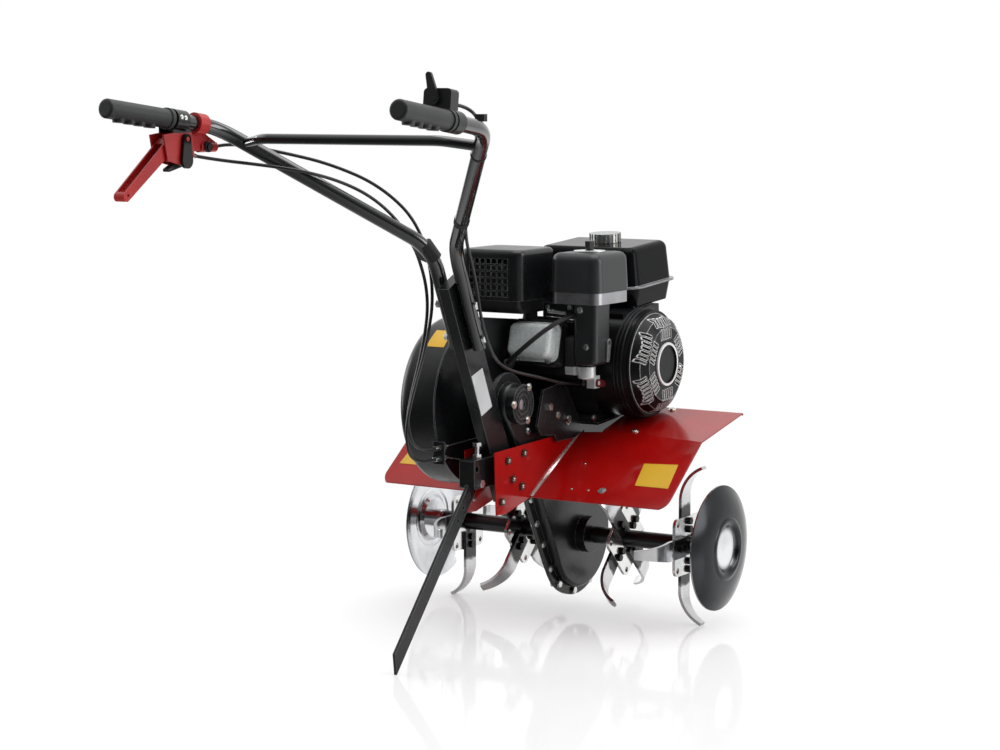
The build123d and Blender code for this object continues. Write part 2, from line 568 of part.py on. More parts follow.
def blade(way):
    """Blade that points up from the axle and curves sideways, to the right for way 1."""
    turn = math.radians(BLADE_TURN)
    outer = (AXLE_H - BLADE_BEND) / math.sin(turn)
    inner = outer - BLADE_THICK
    middle = (outer - BLADE_THICK / 2, BLADE_BEND)
    half = BLADE_THICK / 2
    bend_out = CenterArc(middle, outer, 180, -BLADE_TURN)
    bend_in = CenterArc(middle, inner, 180, -BLADE_TURN)
    edge = [Line((-half, BLADE_ROOT), (-half, BLADE_BEND)), bend_out]
    edge += [Line(bend_out @ 1, bend_in @ 1), bend_in]
    edge += [Line((half, BLADE_BEND), (half, BLADE_ROOT)), Line((half, BLADE_ROOT), (-half, BLADE_ROOT))]
    strip = extrude(Plane.XZ * make_face(edge), amount=BLADE_W / 2, both=True)
    wide, narrow = BLADE_W / 2, BLADE_TIP_W / 2
    outline = [(-wide, BLADE_ROOT), (-wide, BLADE_BEND), (-narrow, AXLE_H), (narrow, AXLE_H)]
    outline += [(wide, BLADE_BEND), (wide, BLADE_ROOT)]
    shape = strip & yz(make_face(Polyline(*outline, close=True)), -half, outer)
    for out in BLADE_BOLT_AT:
        shape -= yz(ring((0, out), BOLT_R + SEAT), -half, half)
    return shape if way > 0 else mirror(shape, Plane.YZ)


def blade_places():
    """For each blade on the right: where it stands across the machine, its turn and the way it curves."""
    places = []
    for x, turn in zip(SET_X, SET_TURN):
        for quarter in range(4):
            if quarter % 2 == 0:
                places.append((x - BLADE_THICK / 2, turn + quarter * 90, 1))
            else:
                places.append((x + PLATE_THICK + BLADE_THICK / 2, turn + quarter * 90, -1))
    return places


def blades(side):
    shapes = []
    for x, turn, way in blade_places():
        shape = Pos(0, 0, AXLE_H) * Rot(turn, 0, 0) * Pos(x, 0, 0) * blade(way)
        shapes.append(shape if side > 0 else mirror(shape, Plane.YZ))
    return solids(shapes)


def tine_bolts():
    """Two bolts with nuts through each blade and its plate."""
    bolts = []
    for side in (1, -1):
        for x, turn, way in blade_places():
            near = x - way * BLADE_THICK / 2
            far = near + way * (BLADE_THICK + PLATE_THICK)
            for out in BLADE_BOLT_AT:
                spot = polar(AXLE, out, 90 + turn)
                hexagon = at(spot, RegularPolygon(HEAD_AF / 2, 6, major_radius=False))
                bolt = side_yz(hexagon, near - way * HEAD_H, near, side)
                bolt += side_yz(hexagon, far, far + way * NUT_H, side)
                bolts.append(bolt + side_yz(ring(spot, BOLT_R), near, far, side))
    return solids(bolts)


def soil_disc(side):
    """Dished disc with a raised ring round its recessed middle, on a short boss."""
    slope = ThreePointArc((0, DISC_R), (0.65 * DISH, 0.78 * DISC_R), (DISH, RING_R + RING_W))
    ridge = ThreePointArc(slope @ 1, (DISH + RING_H, RING_R), (DISH, RING_R - RING_W))
    step = [ridge @ 1, (RECESS, RING_R - 2 * RING_W), (RECESS, HUB_R)]
    front = [slope, ridge, Polyline(*step)]
    back = [Pos(-DISC_T, 0) * piece for piece in front]
    ends = [Line(front[0] @ 0, back[0] @ 0), Line(front[2] @ 1, back[2] @ 1)]
    plate = Pos(DISC_X, 0, 0) * revolve(make_face(front + back + ends), Axis.X)
    boss = yz(Circle(HUB_R + DISC_BOSS), HUB_OUT, DISC_X + RECESS)
    shape = Pos(0, 0, AXLE_H) * (plate + boss)
    return shape if side > 0 else mirror(shape, Plane.YZ)


save("tine_hubs", solids([hub_tube(1), hub_tube(-1)]))
save("tines_right", blades(1))
save("tines_left", blades(-1))
save("tine_bolts", tine_bolts())
save("soil_discs", solids([soil_disc(1), soil_disc(-1)]))


# Handle column with the hitch socket and the drag bar


COLUMN_TOP = COLUMN_FOOT[1] + COLUMN_LONG * math.cos(math.radians(COLUMN_LEAN))
HANDLE_BOLT_ZS = [COLUMN_TOP - drop for drop in HANDLE_BOLT_DROPS]


def column_y(z):
    """Middle of the column at a height."""
    return COLUMN_FOOT[0] - (z - COLUMN_FOOT[1]) * math.tan(math.radians(COLUMN_LEAN))


def on_column(z):
    return (column_y(z), z)


def handle_column():
    """Rectangular tube, closed at the top."""
    place = Pos(0, *COLUMN_FOOT) * Rot(COLUMN_LEAN, 0, 0)
    hollow = Box(COLUMN_W - 2 * COLUMN_T, COLUMN_D - 2 * COLUMN_T, COLUMN_LONG)
    tube = column_bar(COLUMN_W, COLUMN_D) - place * Pos(0, 0, COLUMN_LONG / 2 - COLUMN_T) * hollow
    for z in HANDLE_BOLT_ZS:
        tube -= yz(ring(on_column(z), BOLT_R + SEAT), -COLUMN_W / 2, COLUMN_W / 2)
    return tube


def along_bar(distance, aside=0):
    """Point on the drag bar's line, or beside it towards the rear."""
    return polar(polar(BAR_THROUGH, distance, BAR_ANGLE), aside, BAR_ANGLE + 90)


def bar_edge(aside, z):
    """Point at a height on one edge of the drag bar."""
    start = along_bar(0, aside)
    return polar(start, (z - start[1]) / math.sin(math.radians(BAR_ANGLE)), BAR_ANGLE)


def drag_bar():
    """Flat bar whose lower end is cut nearly upright."""
    half = BAR_W / 2
    corners = [along_bar(BAR_UP, half), along_bar(BAR_UP, -half)]
    corners += [bar_edge(-half, 0), bar_edge(half, BAR_HEEL_H)]
    bar = yz(make_face(Polyline(*corners, close=True)), -BAR_T / 2, BAR_T / 2)
    for hole in range(BAR_HOLES):
        bar -= yz(ring(along_bar(BAR_PIN - hole * BAR_HOLE_STEP), BOLT_R + SEAT), -BAR_T / 2, BAR_T / 2)
    return bar


def hitch_socket():
    """Block behind the column, slotted for the drag bar, with cheeks that clasp the column."""
    outside = SOCKET_HALF_W
    front = [column_y(z) + COLUMN_D / 3 for z in (SOCKET_TOP, SOCKET_LOW)]
    corners = [(SOCKET_REAR, SOCKET_LOW), (SOCKET_REAR, SOCKET_TOP)]
    corners += [(front[0], SOCKET_TOP), (front[1], SOCKET_LOW)]
    block = yz(make_face(Polyline(*corners, close=True)), -outside, outside)
    block = fillet(block.edges().filter_by(Axis.X).sort_by(Axis.Y)[:2], SOCKET_EDGE)
    block -= column_bar(COLUMN_W + 2 * SEAT, COLUMN_D + 2 * SEAT)
    slot = BAR_T / 2 + GAP
    passage = make_face(Polyline(*[along_bar(a, b) for a, b in SLOT_CORNERS], close=True))
    block -= yz(passage, -slot, slot)
    block -= yz(ring(HITCH_BORE, HITCH_BORE_R), -outside, outside)
    block -= yz(ring(along_bar(BAR_PIN), BOLT_R + SEAT), -outside, outside)
    block -= Pos(0, SET_BOLT_Y, SOCKET_TOP) * Cylinder(SET_BOLT_R + SEAT, 2 * SET_BOLT_IN)
    return block


SLOT_SIDE = BAR_W / 2 + GAP
SLOT_CORNERS = [(-BAR_UP, -SLOT_SIDE), (BAR_UP + GAP, -SLOT_SIDE)]
SLOT_CORNERS += [(BAR_UP + GAP, SLOT_SIDE), (-BAR_UP, SLOT_SIDE)]

save("handle_column", handle_column())
save("drag_bar", drag_bar())
save("hitch_socket", hitch_socket())


# Fenders: one pressed sheet on each side, with an upright plate along the case


def strip(points, thick):
    """Outline of a bent sheet whose upper side runs through the points, from front to rear."""
    under = []
    for i, point in enumerate(points):
        normals = []
        for a, b in zip(points[max(i - 1, 0) : i + 1], points[max(i, 1) : i + 2]):
            run = math.dist(a, b)
            normals.append(((a[1] - b[1]) / run, (b[0] - a[0]) / run))
        if len(normals) == 1:
            normals *= 2
        (a, b), (c, d) = normals
        share = thick / (1 + a * c + b * d)
        under.append((point[0] + (a + c) * share, point[1] + (b + d) * share))
    return make_face(Polyline(*points, *reversed(under), close=True))


def fender(side):
    front = [FENDER_LIP, FENDER_FRONT]
    inner = strip(by_input(front + [FENDER_CREASE_IN, FENDER_LOW_IN]), FENDER_T)
    outer = strip(by_input(front + [FENDER_CREASE_OUT, FENDER_LOW_OUT]), FENDER_T)
    inside = FENDER_IN - FENDER_T
    sheet = loft([Plane.YZ.offset(inside) * inner, Plane.YZ.offset(FENDER_OUT) * outer], ruled=True)
    corner_y, corner_z = by_input([FENDER_LOW_OUT])[0]
    rounding = Pos(FENDER_OUT - FENDER_CORNER_R, corner_y + FENDER_CORNER_R - FENDER_T, corner_z)
    deep = 2 * FENDER_CORNER_R
    square = Box(deep, deep, deep, align=(Align.MIN, Align.MAX, Align.CENTER))
    sheet -= rounding * (square - Cylinder(FENDER_CORNER_R, deep))
    low, high = [z for y, z in by_input([FENDER_LOW_OUT, (0, 0)])]
    sheet -= block_between((0, NOTCH_TO), (NOTCH_REAR, FENDER_OUT), (low, high))
    fold = [(y, z - FENDER_T / 2) for y, z in (FENDER_CREASE_IN, FENDER_LOW_IN)]
    plate = by_input(fold + FENDER_REAR)
    sheet += yz(make_face(Polyline(*plate, close=True)), inside, FENDER_IN)
    for point in by_input(FENDER_BOLTS):
        sheet -= yz(ring(point, BOLT_R + SEAT), inside, FENDER_IN)
    if side > 0:
        return sheet
    sheet = mirror(sheet, Plane.YZ)
    sheet -= yz(cover_outline(FENDER_ROOM), COVER_X - FENDER_ROOM, BACKPLATE_X + FENDER_ROOM)
    return sheet - yz(ring(REVERSE_PIVOT, PIVOT_R + FENDER_ROOM), -FENDER_IN, -inside)


save("fender_right", fender(1))
save("fender_left", fender(-1))


# Handles: two bent tubes beside the column, a cross tube and two grips


def handle_path(side):
    x = side * TUBE_X
    low, bend = on_column(COLUMN_TOP - TUBE_OVERLAP), on_column(TUBE_BEND_Z)
    points = [(x, *low), (x, *bend), (side * ARM_END[0], *ARM_END[1:])]
    return FilletPolyline(*points, handle_point(side, GRIP_CAP), radius=TUBE_BEND_R)


def handle_point(side, ahead):
    """Point on the grip's axis, measured forwards from the rear end of the grip."""
    end = Vector(side * GRIP_END[0], *GRIP_END[1:])
    return end + (Vector(side * ARM_END[0], *ARM_END[1:]) - end).normalized() * ahead


def handle_frame(side, ahead):
    """Frame on the grip's axis: X to the right, Y up and Z to the rear."""
    point = handle_point(side, ahead)
    return Plane(origin=point, x_dir=(1, 0, 0), z_dir=point - handle_point(side, ahead + 1))


def swept(path, r, bore=0):
    start = Plane(origin=path @ 0, z_dir=path % 0)
    section = Circle(r) - Circle(bore) if bore else Circle(r)
    return sweep(start * section, path=path)


def handle_tube(side, r=TUBE_R, bore=TUBE_R - TUBE_T):
    tube = swept(handle_path(side), r, bore)
    for z in HANDLE_BOLT_ZS:
        tube -= side_yz(ring(on_column(z), BOLT_R + SEAT), 0, 3 * TUBE_X, side)
    return tube


def cross_tube():
    """Straight tube between the arms, dipping at its ends to the welds."""
    bend = Vector(TUBE_X, *on_column(TUBE_BEND_Z))
    weld = bend + (Vector(*ARM_END) - bend) * CROSS_WELD
    half = [(weld.X, weld.Y, weld.Z), CROSS_BEND]
    other = [(-x, y, z) for x, y, z in reversed(half)]
    tube = swept(FilletPolyline(*half, *other, radius=CROSS_BEND_R), CROSS_R)
    for side in (1, -1):
        tube -= swept(handle_path(side), TUBE_R)
    return max(tube.solids(), key=lambda solid: solid.volume)


def grip(side):
    """Rubber grip with a closed end, a collar and four finger ridges underneath."""
    body = Pos(0, 0, -GRIP_LONG / 2) * Cylinder(GRIP_R, GRIP_LONG)
    body = fillet(body.edges().sort_by(Axis.Z)[-1], GRIP_END_R)
    body += Pos(0, 0, -GRIP_LONG) * extrude(Circle(GRIP_R + GRIP_COLLAR), amount=GRIP_COLLAR_W)
    ridge = Rot(90, 0, 0) * Cone(GRIP_R - 2 * GRIP_COLLAR, RIDGE_TIP_R, RIDGE_H)
    for place in range(RIDGES):
        body += Pos(0, -RIDGE_DROP, -RIDGE_FROM - place * RIDGE_STEP) * ridge
    body -= Pos(0, 0, -GRIP_CAP - GRIP_LONG / 2) * Cylinder(TUBE_R + SEAT, GRIP_LONG)
    return handle_frame(side, 0) * body


save("handle_tube_right", handle_tube(1))
save("handle_tube_left", handle_tube(-1))
save("cross_tube", cross_tube())
save("grip_right", grip(1))
save("grip_left", grip(-1))


# Engine mount: a plate under the engine on two cheeks beside the case


def engine(shape):
    """Moves a shape from the engine's own frame to its place."""
    return Pos(0, *CRANK) * Rot(ENGINE_TILT, 0, 0) * shape


def engine_mount():
    plate = engine(block_between(MOUNT_PLATE_X, MOUNT_PLATE_Y, (BASE_Z - MOUNT_T, BASE_Z)))
    cheek = make_face(Polyline(*by_input(MOUNT_TOP + MOUNT_LOW), close=True))
    for side in (1, -1):
        plate += side_yz(cheek, MOUNT_IN, MOUNT_IN + MOUNT_T, side)
    for point in by_input(MOUNT_BOLTS):
        plate -= yz(ring(point, BOLT_R + SEAT), -MOUNT_IN - MOUNT_T, MOUNT_IN + MOUNT_T)
    return plate


save("engine_mount", engine_mount())


# Engine: finned cylinder on the crankcase, blower side on the right, belt side on the left


def along_cylinder(shape):
    """Moves a shape from the cylinder's own frame, with its line along +Y, to the engine's frame."""
    return Rot(180 - CYLINDER_RISE, 0, 0) * shape


def across(middle, width):
    """Limits of a width about a middle."""
    return (middle - width / 2, middle + width / 2)


def engine_block():
    case = block_between((PTO_X, FLYWHEEL_X), CRANKCASE_Y, (BASE_Z, CRANKCASE_TOP))
    case = fillet(case.edges().filter_by(Axis.X), CRANKCASE_R)
    case += block_between((PTO_X - BASE_LIP, FLYWHEEL_X), BASE_Y, (BASE_Z, BASE_Z + BASE_T))
    square = (across(CYLINDER_X, CYLINDER_W), across(0, CYLINDER_W))
    barrel = block_between(square[0], (CYLINDER_FROM, HEAD_FROM), square[1])
    for fin in range(FINS):
        near = FIN_FROM + fin * FIN_STEP
        barrel += block_between(across(CYLINDER_X, FIN_W), (near, near + FIN_T), across(0, FIN_W))
    head = block_between(across(CYLINDER_X, HEAD_WIDE), (HEAD_FROM, HEAD_TO), across(0, HEAD_TALL))
    case += along_cylinder(barrel + fillet(head.edges().filter_by(Axis.Y), HEAD_CORNER_R))
    case -= yz(Circle(CRANK_R + RUN), PTO_X, FLYWHEEL_X)
    return engine(case)


def rocker_cover():
    """Pressed cover on a bolted lip, at the end of the cylinder head."""
    lip = block_between(across(CYLINDER_X, ROCKER_W), (HEAD_TO, HEAD_TO + ROCKER_LIP_T), across(0, ROCKER_H))
    lip = fillet(lip.edges().filter_by(Axis.Y), ROCKER_CORNER_R)
    wide, tall = ROCKER_W - 2 * ROCKER_LIP, ROCKER_H - 2 * ROCKER_LIP
    dome = block_between(across(CYLINDER_X, wide), (HEAD_TO, ROCKER_TO), across(0, tall))
    dome = fillet(dome.edges().filter_by(Axis.Y), ROCKER_CORNER_R - ROCKER_LIP / 2)
    dome = fillet(dome.faces().sort_by(Axis.Y)[-1].edges(), ROCKER_EDGE)
    return engine(along_cylinder(lip + dome))


def turned_profile(outline):
    """Outline of (X, radius) points turned about the crankshaft's line."""
    return revolve(make_face(Polyline(*outline, close=True)), Axis.X)


def fan_outline(inset):
    """Drum with a square corner under the tank."""
    wide, tall = FAN_BOX_Y[1] - FAN_BOX_Y[0], FAN_BOX_Z[1] - FAN_BOX_Z[0]
    corner = Rectangle(wide - 2 * inset, tall - 2 * inset)
    middle = (FAN_BOX_Y[0] + wide / 2, FAN_BOX_Z[0] + tall / 2)
    return Circle(FAN_R - inset) + at(middle, corner)


def fan_housing():
    """Drum round the flywheel, with a flat top under the tank."""
    shell = yz(fan_outline(0), FLYWHEEL_X, FAN_BOX_TO) + yz(Circle(FAN_R), FLYWHEEL_X, FAN_TO)
    shell -= yz(fan_outline(FAN_T), FLYWHEEL_X + FAN_T, FAN_BOX_TO - FAN_T)
    shell -= yz(Circle(FAN_R - FAN_T), FLYWHEEL_X + FAN_T, FAN_TO)
    shell -= yz(Circle(1.5 * CRANK_R), FLYWHEEL_X, FLYWHEEL_X + FAN_T)
    return engine(shell)


def grille():
    """Slots of the starter cover: sectors of parallel slots, in two bands."""
    slots = Sketch()
    for sector in range(GRILLE_SECTORS):
        for near, far, each_side in GRILLE_BANDS:
            slot = Rectangle(far - near, GRILLE_SLOT_W)
            for place in range(-each_side, each_side + 1):
                shape = Pos((near + far) / 2, place * GRILLE_PITCH) * slot
                slots += Rot(0, 0, (sector + 0.5) * 360 / GRILLE_SECTORS) * shape
    return slots


def recoil_cover():
    """Domed starter cover with a rim, a slotted grille and a raised ring round its middle."""
    face = RECOIL_TO - RECOIL_RING_H
    rim_r, rim_x = RECOIL_R + RECOIL_RIM, FAN_TO + RECOIL_RIM_T
    back, down = RECOIL_SHOULDER
    front = [(FAN_TO, rim_r), (rim_x, rim_r), (rim_x, RECOIL_R), (face - back, RECOIL_R - down)]
    front += [(face, RECOIL_FACE_R), (face, 0)]
    inside = [(face - RECOIL_T, 0), (face - RECOIL_T, RECOIL_FACE_R - RECOIL_T)]
    inside += [(face - back - RECOIL_T / 2, RECOIL_R - down - RECOIL_T), (FAN_TO, RECOIL_R - RECOIL_T)]
    cover = turned_profile(front + inside) - yz(grille(), rim_x + RECOIL_T, RECOIL_TO)
    low, high = RECOIL_RING
    return engine(cover + yz(Circle(high) - Circle(low), face, RECOIL_TO))


def flywheel_fan():
    """Flywheel with blower blades, keyed on the crankshaft."""
    near = FLYWHEEL_X + FLYWHEEL_IN
    far = near + FLYWHEEL_T
    wheel = yz(Circle(FLYWHEEL_R), near, far) + yz(Circle(FLYWHEEL_HUB_R), far, far + FLYWHEEL_HUB_H)
    vane = Pos(VANE_AT, 0) * Rectangle(VANE_LONG, VANE_T)
    for place in range(VANES):
        wheel += yz(Rot(0, 0, place * 360 / VANES) * vane, far, far + VANE_H)
    return engine(wheel - yz(Circle(CRANK_R + SEAT), near, far + VANE_H))


def tank_body(inset):
    """Tank's outside, or the space inside its wall."""
    wide, deep = TANK_X[1] - TANK_X[0] - 2 * inset, TANK_Y[1] - TANK_Y[0] - 2 * inset
    plan = RectangleRounded(wide, deep, TANK_CORNER_R - inset)
    upper = extrude(plan, amount=TANK_TOP - TANK_SEAM - inset, taper=TANK_TAPER)
    upper = fillet(upper.faces().sort_by(Axis.Z)[-1].edges(), TANK_TOP_R - inset)
    return upper + extrude(plan, amount=TANK_LOW - TANK_SEAM + inset, taper=TANK_LOW_TAPER)


def fuel_tank():
    """Two pressed halves that meet at a rolled seam."""
    middle = Pos((TANK_X[0] + TANK_X[1]) / 2, (TANK_Y[0] + TANK_Y[1]) / 2, TANK_SEAM)
    plan = RectangleRounded(TANK_X[1] - TANK_X[0], TANK_Y[1] - TANK_Y[0], TANK_CORNER_R)
    seam = extrude(offset(plan, TANK_LIP), amount=TANK_T, both=True)
    tank = middle * (tank_body(0) + seam - tank_body(TANK_T))
    neck = extrude(Circle(NECK_R), amount=TANK_TOP - TANK_SEAM + NECK_H)
    return engine(tank + Pos(CAP_X, CAP_Y, TANK_SEAM) * neck)


def fuel_cap():
    """Ribbed cap that sits over the neck."""
    rib_r = CAP_R - CAP_RIB / 2
    rim = Circle(rib_r)
    for rib in range(CAP_RIBS):
        rim += Rot(0, 0, rib * 360 / CAP_RIBS) * Pos(rib_r, 0) * Rectangle(CAP_RIB, CAP_RIB)
    cap = extrude(rim, amount=CAP_H) - extrude(Circle(NECK_R + GAP), amount=NECK_H + GAP)
    return engine(Pos(CAP_X, CAP_Y, TANK_TOP + GAP) * cap)


save("engine_block", engine_block())
save("rocker_cover", rocker_cover())
save("fan_housing", fan_housing())
save("recoil_cover", recoil_cover())
save("flywheel_fan", flywheel_fan())
save("crankshaft", yz(ring(CRANK, CRANK_R), HUB_LEFT, FLYWHEEL_X + CRANK_OUT))
engine_hub = (ENGINE_HUB_R, HUB_LEFT, HUB_RIGHT + ENGINE_HUB_OUT)
save("engine_pulley", pulley(CRANK, ENGINE_PULLEY_R, CRANK_R + SEAT, *engine_hub))
save("fuel_tank", fuel_tank())
save("fuel_cap", fuel_cap())


# Muffler with its guard, air cleaner and carburettor


def fitted(shape):
    """Moves a shape measured from the crankshaft's line to its place, without the engine's tilt."""
    return Pos(0, *CRANK) * shape


def muffler_can(inset):
    limits = [(low + inset, high - inset) for low, high in (MUFFLER_X, MUFFLER_Y, MUFFLER_Z)]
    can = fillet(block_between(*limits).edges().filter_by(Axis.X), MUFFLER_R - inset)
    ends = can.faces().sort_by(Axis.X)[0].edges() + can.faces().sort_by(Axis.X)[-1].edges()
    return fillet(ends, MUFFLER_END_R - inset)


def muffler():
    """Rounded can on a short pipe from the cylinder head."""
    can = muffler_can(0) - muffler_can(SHEET_T)
    pipe = Pos(PORT_X, PORT_Y, MUFFLER_Z[0] + SHEET_T / 2) * extrude(Circle(PORT_R), amount=-PORT_LONG)
    return fitted(can + pipe) - PIECES["engine_block"]


def guard_shell(inset):
    """Outside of the muffler's guard, or the space inside its wall."""
    out = GUARD_OUT - inset
    x, y = [(low - out, high + out) for low, high in (MUFFLER_X, MUFFLER_Y)]
    z = (MUFFLER_Z[0] + GUARD_UP, MUFFLER_Z[1] + GUARD_OVER - inset)
    shell = fillet(block_between(x, y, z).edges().filter_by(Axis.Z), GUARD_CORNER_R - inset)
    return fillet(shell.faces().sort_by(Axis.Z)[-1].edges(), GUARD_TOP_R - inset)


def muffler_guard():
    """Cover of perforated sheet over the muffler, open below."""
    shell = guard_shell(0) - guard_shell(GUARD_T)
    deep = 2 * GUARD_CORNER_R
    middle = [(low + high) / 2 for low, high in (MUFFLER_X, MUFFLER_Y)]
    for row in range(GUARD_ROWS):
        z = MUFFLER_Z[0] + GUARD_UP + (row + 1) * GUARD_STEP
        for column in range(GUARD_COLUMNS):
            along = (column - (GUARD_COLUMNS - 1) / 2) * GUARD_STEP
            shell -= Pos(middle[0] + along, MUFFLER_Y[0], z) * Box(GUARD_HOLE, deep, GUARD_HOLE)
            shell -= Pos(MUFFLER_X[0], middle[1] + along, z) * Box(deep, GUARD_HOLE, GUARD_HOLE)
    return fitted(shell)


CLEANER_MIDDLE = ((CLEANER_X[0] + CLEANER_X[1]) / 2, (CLEANER_Y[0] + CLEANER_Y[1]) / 2)
TRAY_Z = ELBOW_LOW + ELBOW_H
CLEANER_Z = TRAY_Z + TRAY_H


def cleaner_plan(grow):
    wide, deep = CLEANER_X[1] - CLEANER_X[0] + 2 * grow, CLEANER_Y[1] - CLEANER_Y[0] + 2 * grow
    return RectangleRounded(wide, deep, CLEANER_CORNER_R + grow)


def air_cleaner_base():
    """Tray of the air cleaner on its moulded elbow, with the stud that holds the cover."""
    tray = Pos(*CLEANER_MIDDLE, TRAY_Z) * extrude(cleaner_plan(-CLEANER_LIP), amount=TRAY_H)
    elbow = block_between(ELBOW_X, ELBOW_Y, (ELBOW_LOW, TRAY_Z))
    elbow = fillet(elbow.edges().filter_by(Axis.Z) + elbow.faces().sort_by(Axis.Z)[0].edges(), ELBOW_R)
    stud = Pos(*CLEANER_MIDDLE, CLEANER_Z) * extrude(Circle(STUD_R), amount=CLEANER_H + STUD_OUT)
    return fitted(tray + elbow + stud)


def air_cleaner_cover():
    shells = []
    for inset in (0, SHEET_T):
        shell = extrude(cleaner_plan(CLEANER_LIP - inset), amount=CLEANER_H - inset, taper=CLEANER_TAPER)
        shells.append(fillet(shell.faces().sort_by(Axis.Z)[-1].edges(), CLEANER_TOP_R - inset))
    hole = extrude(Circle(STUD_R + SEAT), amount=CLEANER_H)
    return fitted(Pos(*CLEANER_MIDDLE, CLEANER_Z) * (shells[0] - shells[1] - hole))


def air_cleaner_knob():
    """Six-sided knob on the stud, above a broad washer."""
    knob = extrude(Circle(WASHER_R), amount=WASHER_T) + extrude(Circle(KNOB_NECK_R), amount=KNOB_NECK_H)
    knob += Pos(0, 0, KNOB_NECK_H) * extrude(RegularPolygon(KNOB_R, 6), amount=KNOB_H)
    knob -= extrude(Circle(STUD_R + RUN), amount=STUD_OUT + GAP)
    return fitted(Pos(*CLEANER_MIDDLE, CLEANER_Z + CLEANER_H + GAP) * knob)


def carburettor():
    """Body between the cylinder and the elbow, with the float bowl outside it."""
    body = block_between((CYLINDER_X + FIN_W / 2, ELBOW_X[0]), CARBURETTOR_Y, CARBURETTOR_Z)
    body = fillet(body.edges().filter_by(Axis.X), CARBURETTOR_R)
    bowl = Pos(BOWL_X, BOWL_Y, BOWL_Z[0]) * extrude(Circle(BOWL_R), amount=BOWL_Z[1] - BOWL_Z[0])
    bowl = fillet(bowl.edges().sort_by(Axis.Z)[0], BOWL_R / 4)
    half = BOWL_R / 2
    neck = block_between((ELBOW_X[0] - half, BOWL_X), across(BOWL_Y, BOWL_R), (BOWL_Z[0] + half, BOWL_Z[1]))
    return fitted(body + bowl + neck)
save("muffler", muffler())
save("muffler_guard", muffler_guard())
save("air_cleaner_base", air_cleaner_base())
save("air_cleaner_cover", air_cleaner_cover())
save("air_cleaner_knob", air_cleaner_knob())
save("carburettor", carburettor())


# Controls on the left handle: clutch lever, lock trigger and reverse lever


def clamp(side, ahead, width, r):
    """Ring round the handle tube."""
    return handle_frame(side, ahead) * (Cylinder(r, width) - Cylinder(TUBE_R + SEAT, width))


def ahead_of(y):
    """Distance along the grip's axis from its rear end to a place seen from the side."""
    end, arm = Vector(*GRIP_END), Vector(*ARM_END)
    return (y - end.Y) / (arm.Y - end.Y) * (arm - end).length


def clutch_bracket():
    """Two ears under a clamp, with a web at the front and the pins of the levers."""
    outline = make_face(Polyline(*BRACKET_OUTLINE, close=True))
    out = EAR_IN + EAR_T
    left, right = LEVER_X - out, LEVER_X + out
    bracket = yz(outline, left, right) - yz(outline, LEVER_X - EAR_IN, LEVER_X + EAR_IN)
    bracket += yz(make_face(Polyline(*BRACKET_WEB, close=True)), left, right)
    bracket += yz(ring(LEVER_PIVOT, PIN_R), left, right)
    bracket += yz(ring(TRIGGER_PIVOT, TRIGGER_PIN_R), left, right)
    bracket += yz(ring(PADDLE_PIVOT, PIN_R), LEVER_X + EAR_IN, right + PADDLE_T + 2 * GAP)
    bracket += clamp(-1, ahead_of(CLUTCH_CLAMP_Y), CLUTCH_CLAMP_W, TUBE_R + CLAMP_T)
    return bracket - swept(handle_path(-1), TUBE_R + SEAT)


def clutch_lever():
    """Pressed channel, open towards the grip, with a hole near its tip."""
    left, right = LEVER_X - LEVER_HALF_W, LEVER_X + LEVER_HALF_W
    lever = yz(capsule(LEVER_PIVOT, LEVER_R, LEVER_TIP, LEVER_TIP_R), left, right)
    heading = math.degrees(math.atan2(LEVER_TIP[1] - LEVER_PIVOT[1], LEVER_TIP[0] - LEVER_PIVOT[0]))
    start = polar(towards(LEVER_PIVOT, LEVER_TIP, 1.5 * LEVER_R), 2 * LEVER_SHEET, heading - 90)
    end = polar(towards(LEVER_TIP, LEVER_PIVOT, LEVER_TIP_R), 2 * LEVER_SHEET, heading - 90)
    channel = capsule(start, LEVER_R - LEVER_SHEET, end, LEVER_TIP_R - LEVER_SHEET)
    lever -= yz(channel, left + LEVER_SHEET, right - LEVER_SHEET)
    lever -= yz(ring(LEVER_PIVOT, PIN_R + RUN), left, right)
    return lever - yz(ring(towards(LEVER_TIP, LEVER_PIVOT, LEVER_TIP_R / 2), WIRE_HOLE_R), left, right)


def reverse_lever():
    inner = LEVER_X + EAR_IN + EAR_T + GAP
    paddle = yz(capsule(PADDLE_PIVOT, PADDLE_EYE_R, PADDLE_TIP, PADDLE_R), inner, inner + PADDLE_T)
    return paddle - yz(ring(PADDLE_PIVOT, PIN_R + RUN), inner, inner + PADDLE_T)


def lock_trigger():
    left, right = LEVER_X - TRIGGER_HALF_W, LEVER_X + TRIGGER_HALF_W
    trigger = yz(capsule(TRIGGER_PIVOT, TRIGGER_R, TRIGGER_TIP, TRIGGER_TIP_R), left, right)
    return trigger - yz(ring(TRIGGER_PIVOT, TRIGGER_PIN_R + RUN), left, right)


def reverse_bracket():
    """Plate under a second clamp, with the barrel that holds the reverse cable."""
    middle = LEVER_X + BARREL_ASIDE
    outline = make_face(Polyline(*REVERSE_OUTLINE, close=True))
    bracket = yz(outline, middle - REVERSE_BRACKET_W / 2, middle + REVERSE_BRACKET_W / 2)
    barrel = Cylinder(BARREL_R, BARREL_Y[1] - BARREL_Y[0])
    bracket += Pos(middle, (BARREL_Y[0] + BARREL_Y[1]) / 2, BARREL_Z) * Rot(90, 0, 0) * barrel
    bracket += clamp(-1, ahead_of(REVERSE_CLAMP_Y), REVERSE_CLAMP_W, TUBE_R + CLAMP_T)
    return bracket - swept(handle_path(-1), TUBE_R + SEAT)


save("clutch_bracket", clutch_bracket())
save("clutch_lever", clutch_lever())
save("reverse_lever", reverse_lever())
save("lock_trigger", lock_trigger())
save("reverse_bracket", reverse_bracket())


# Throttle control on the right handle, levers at the engine and the starter grip

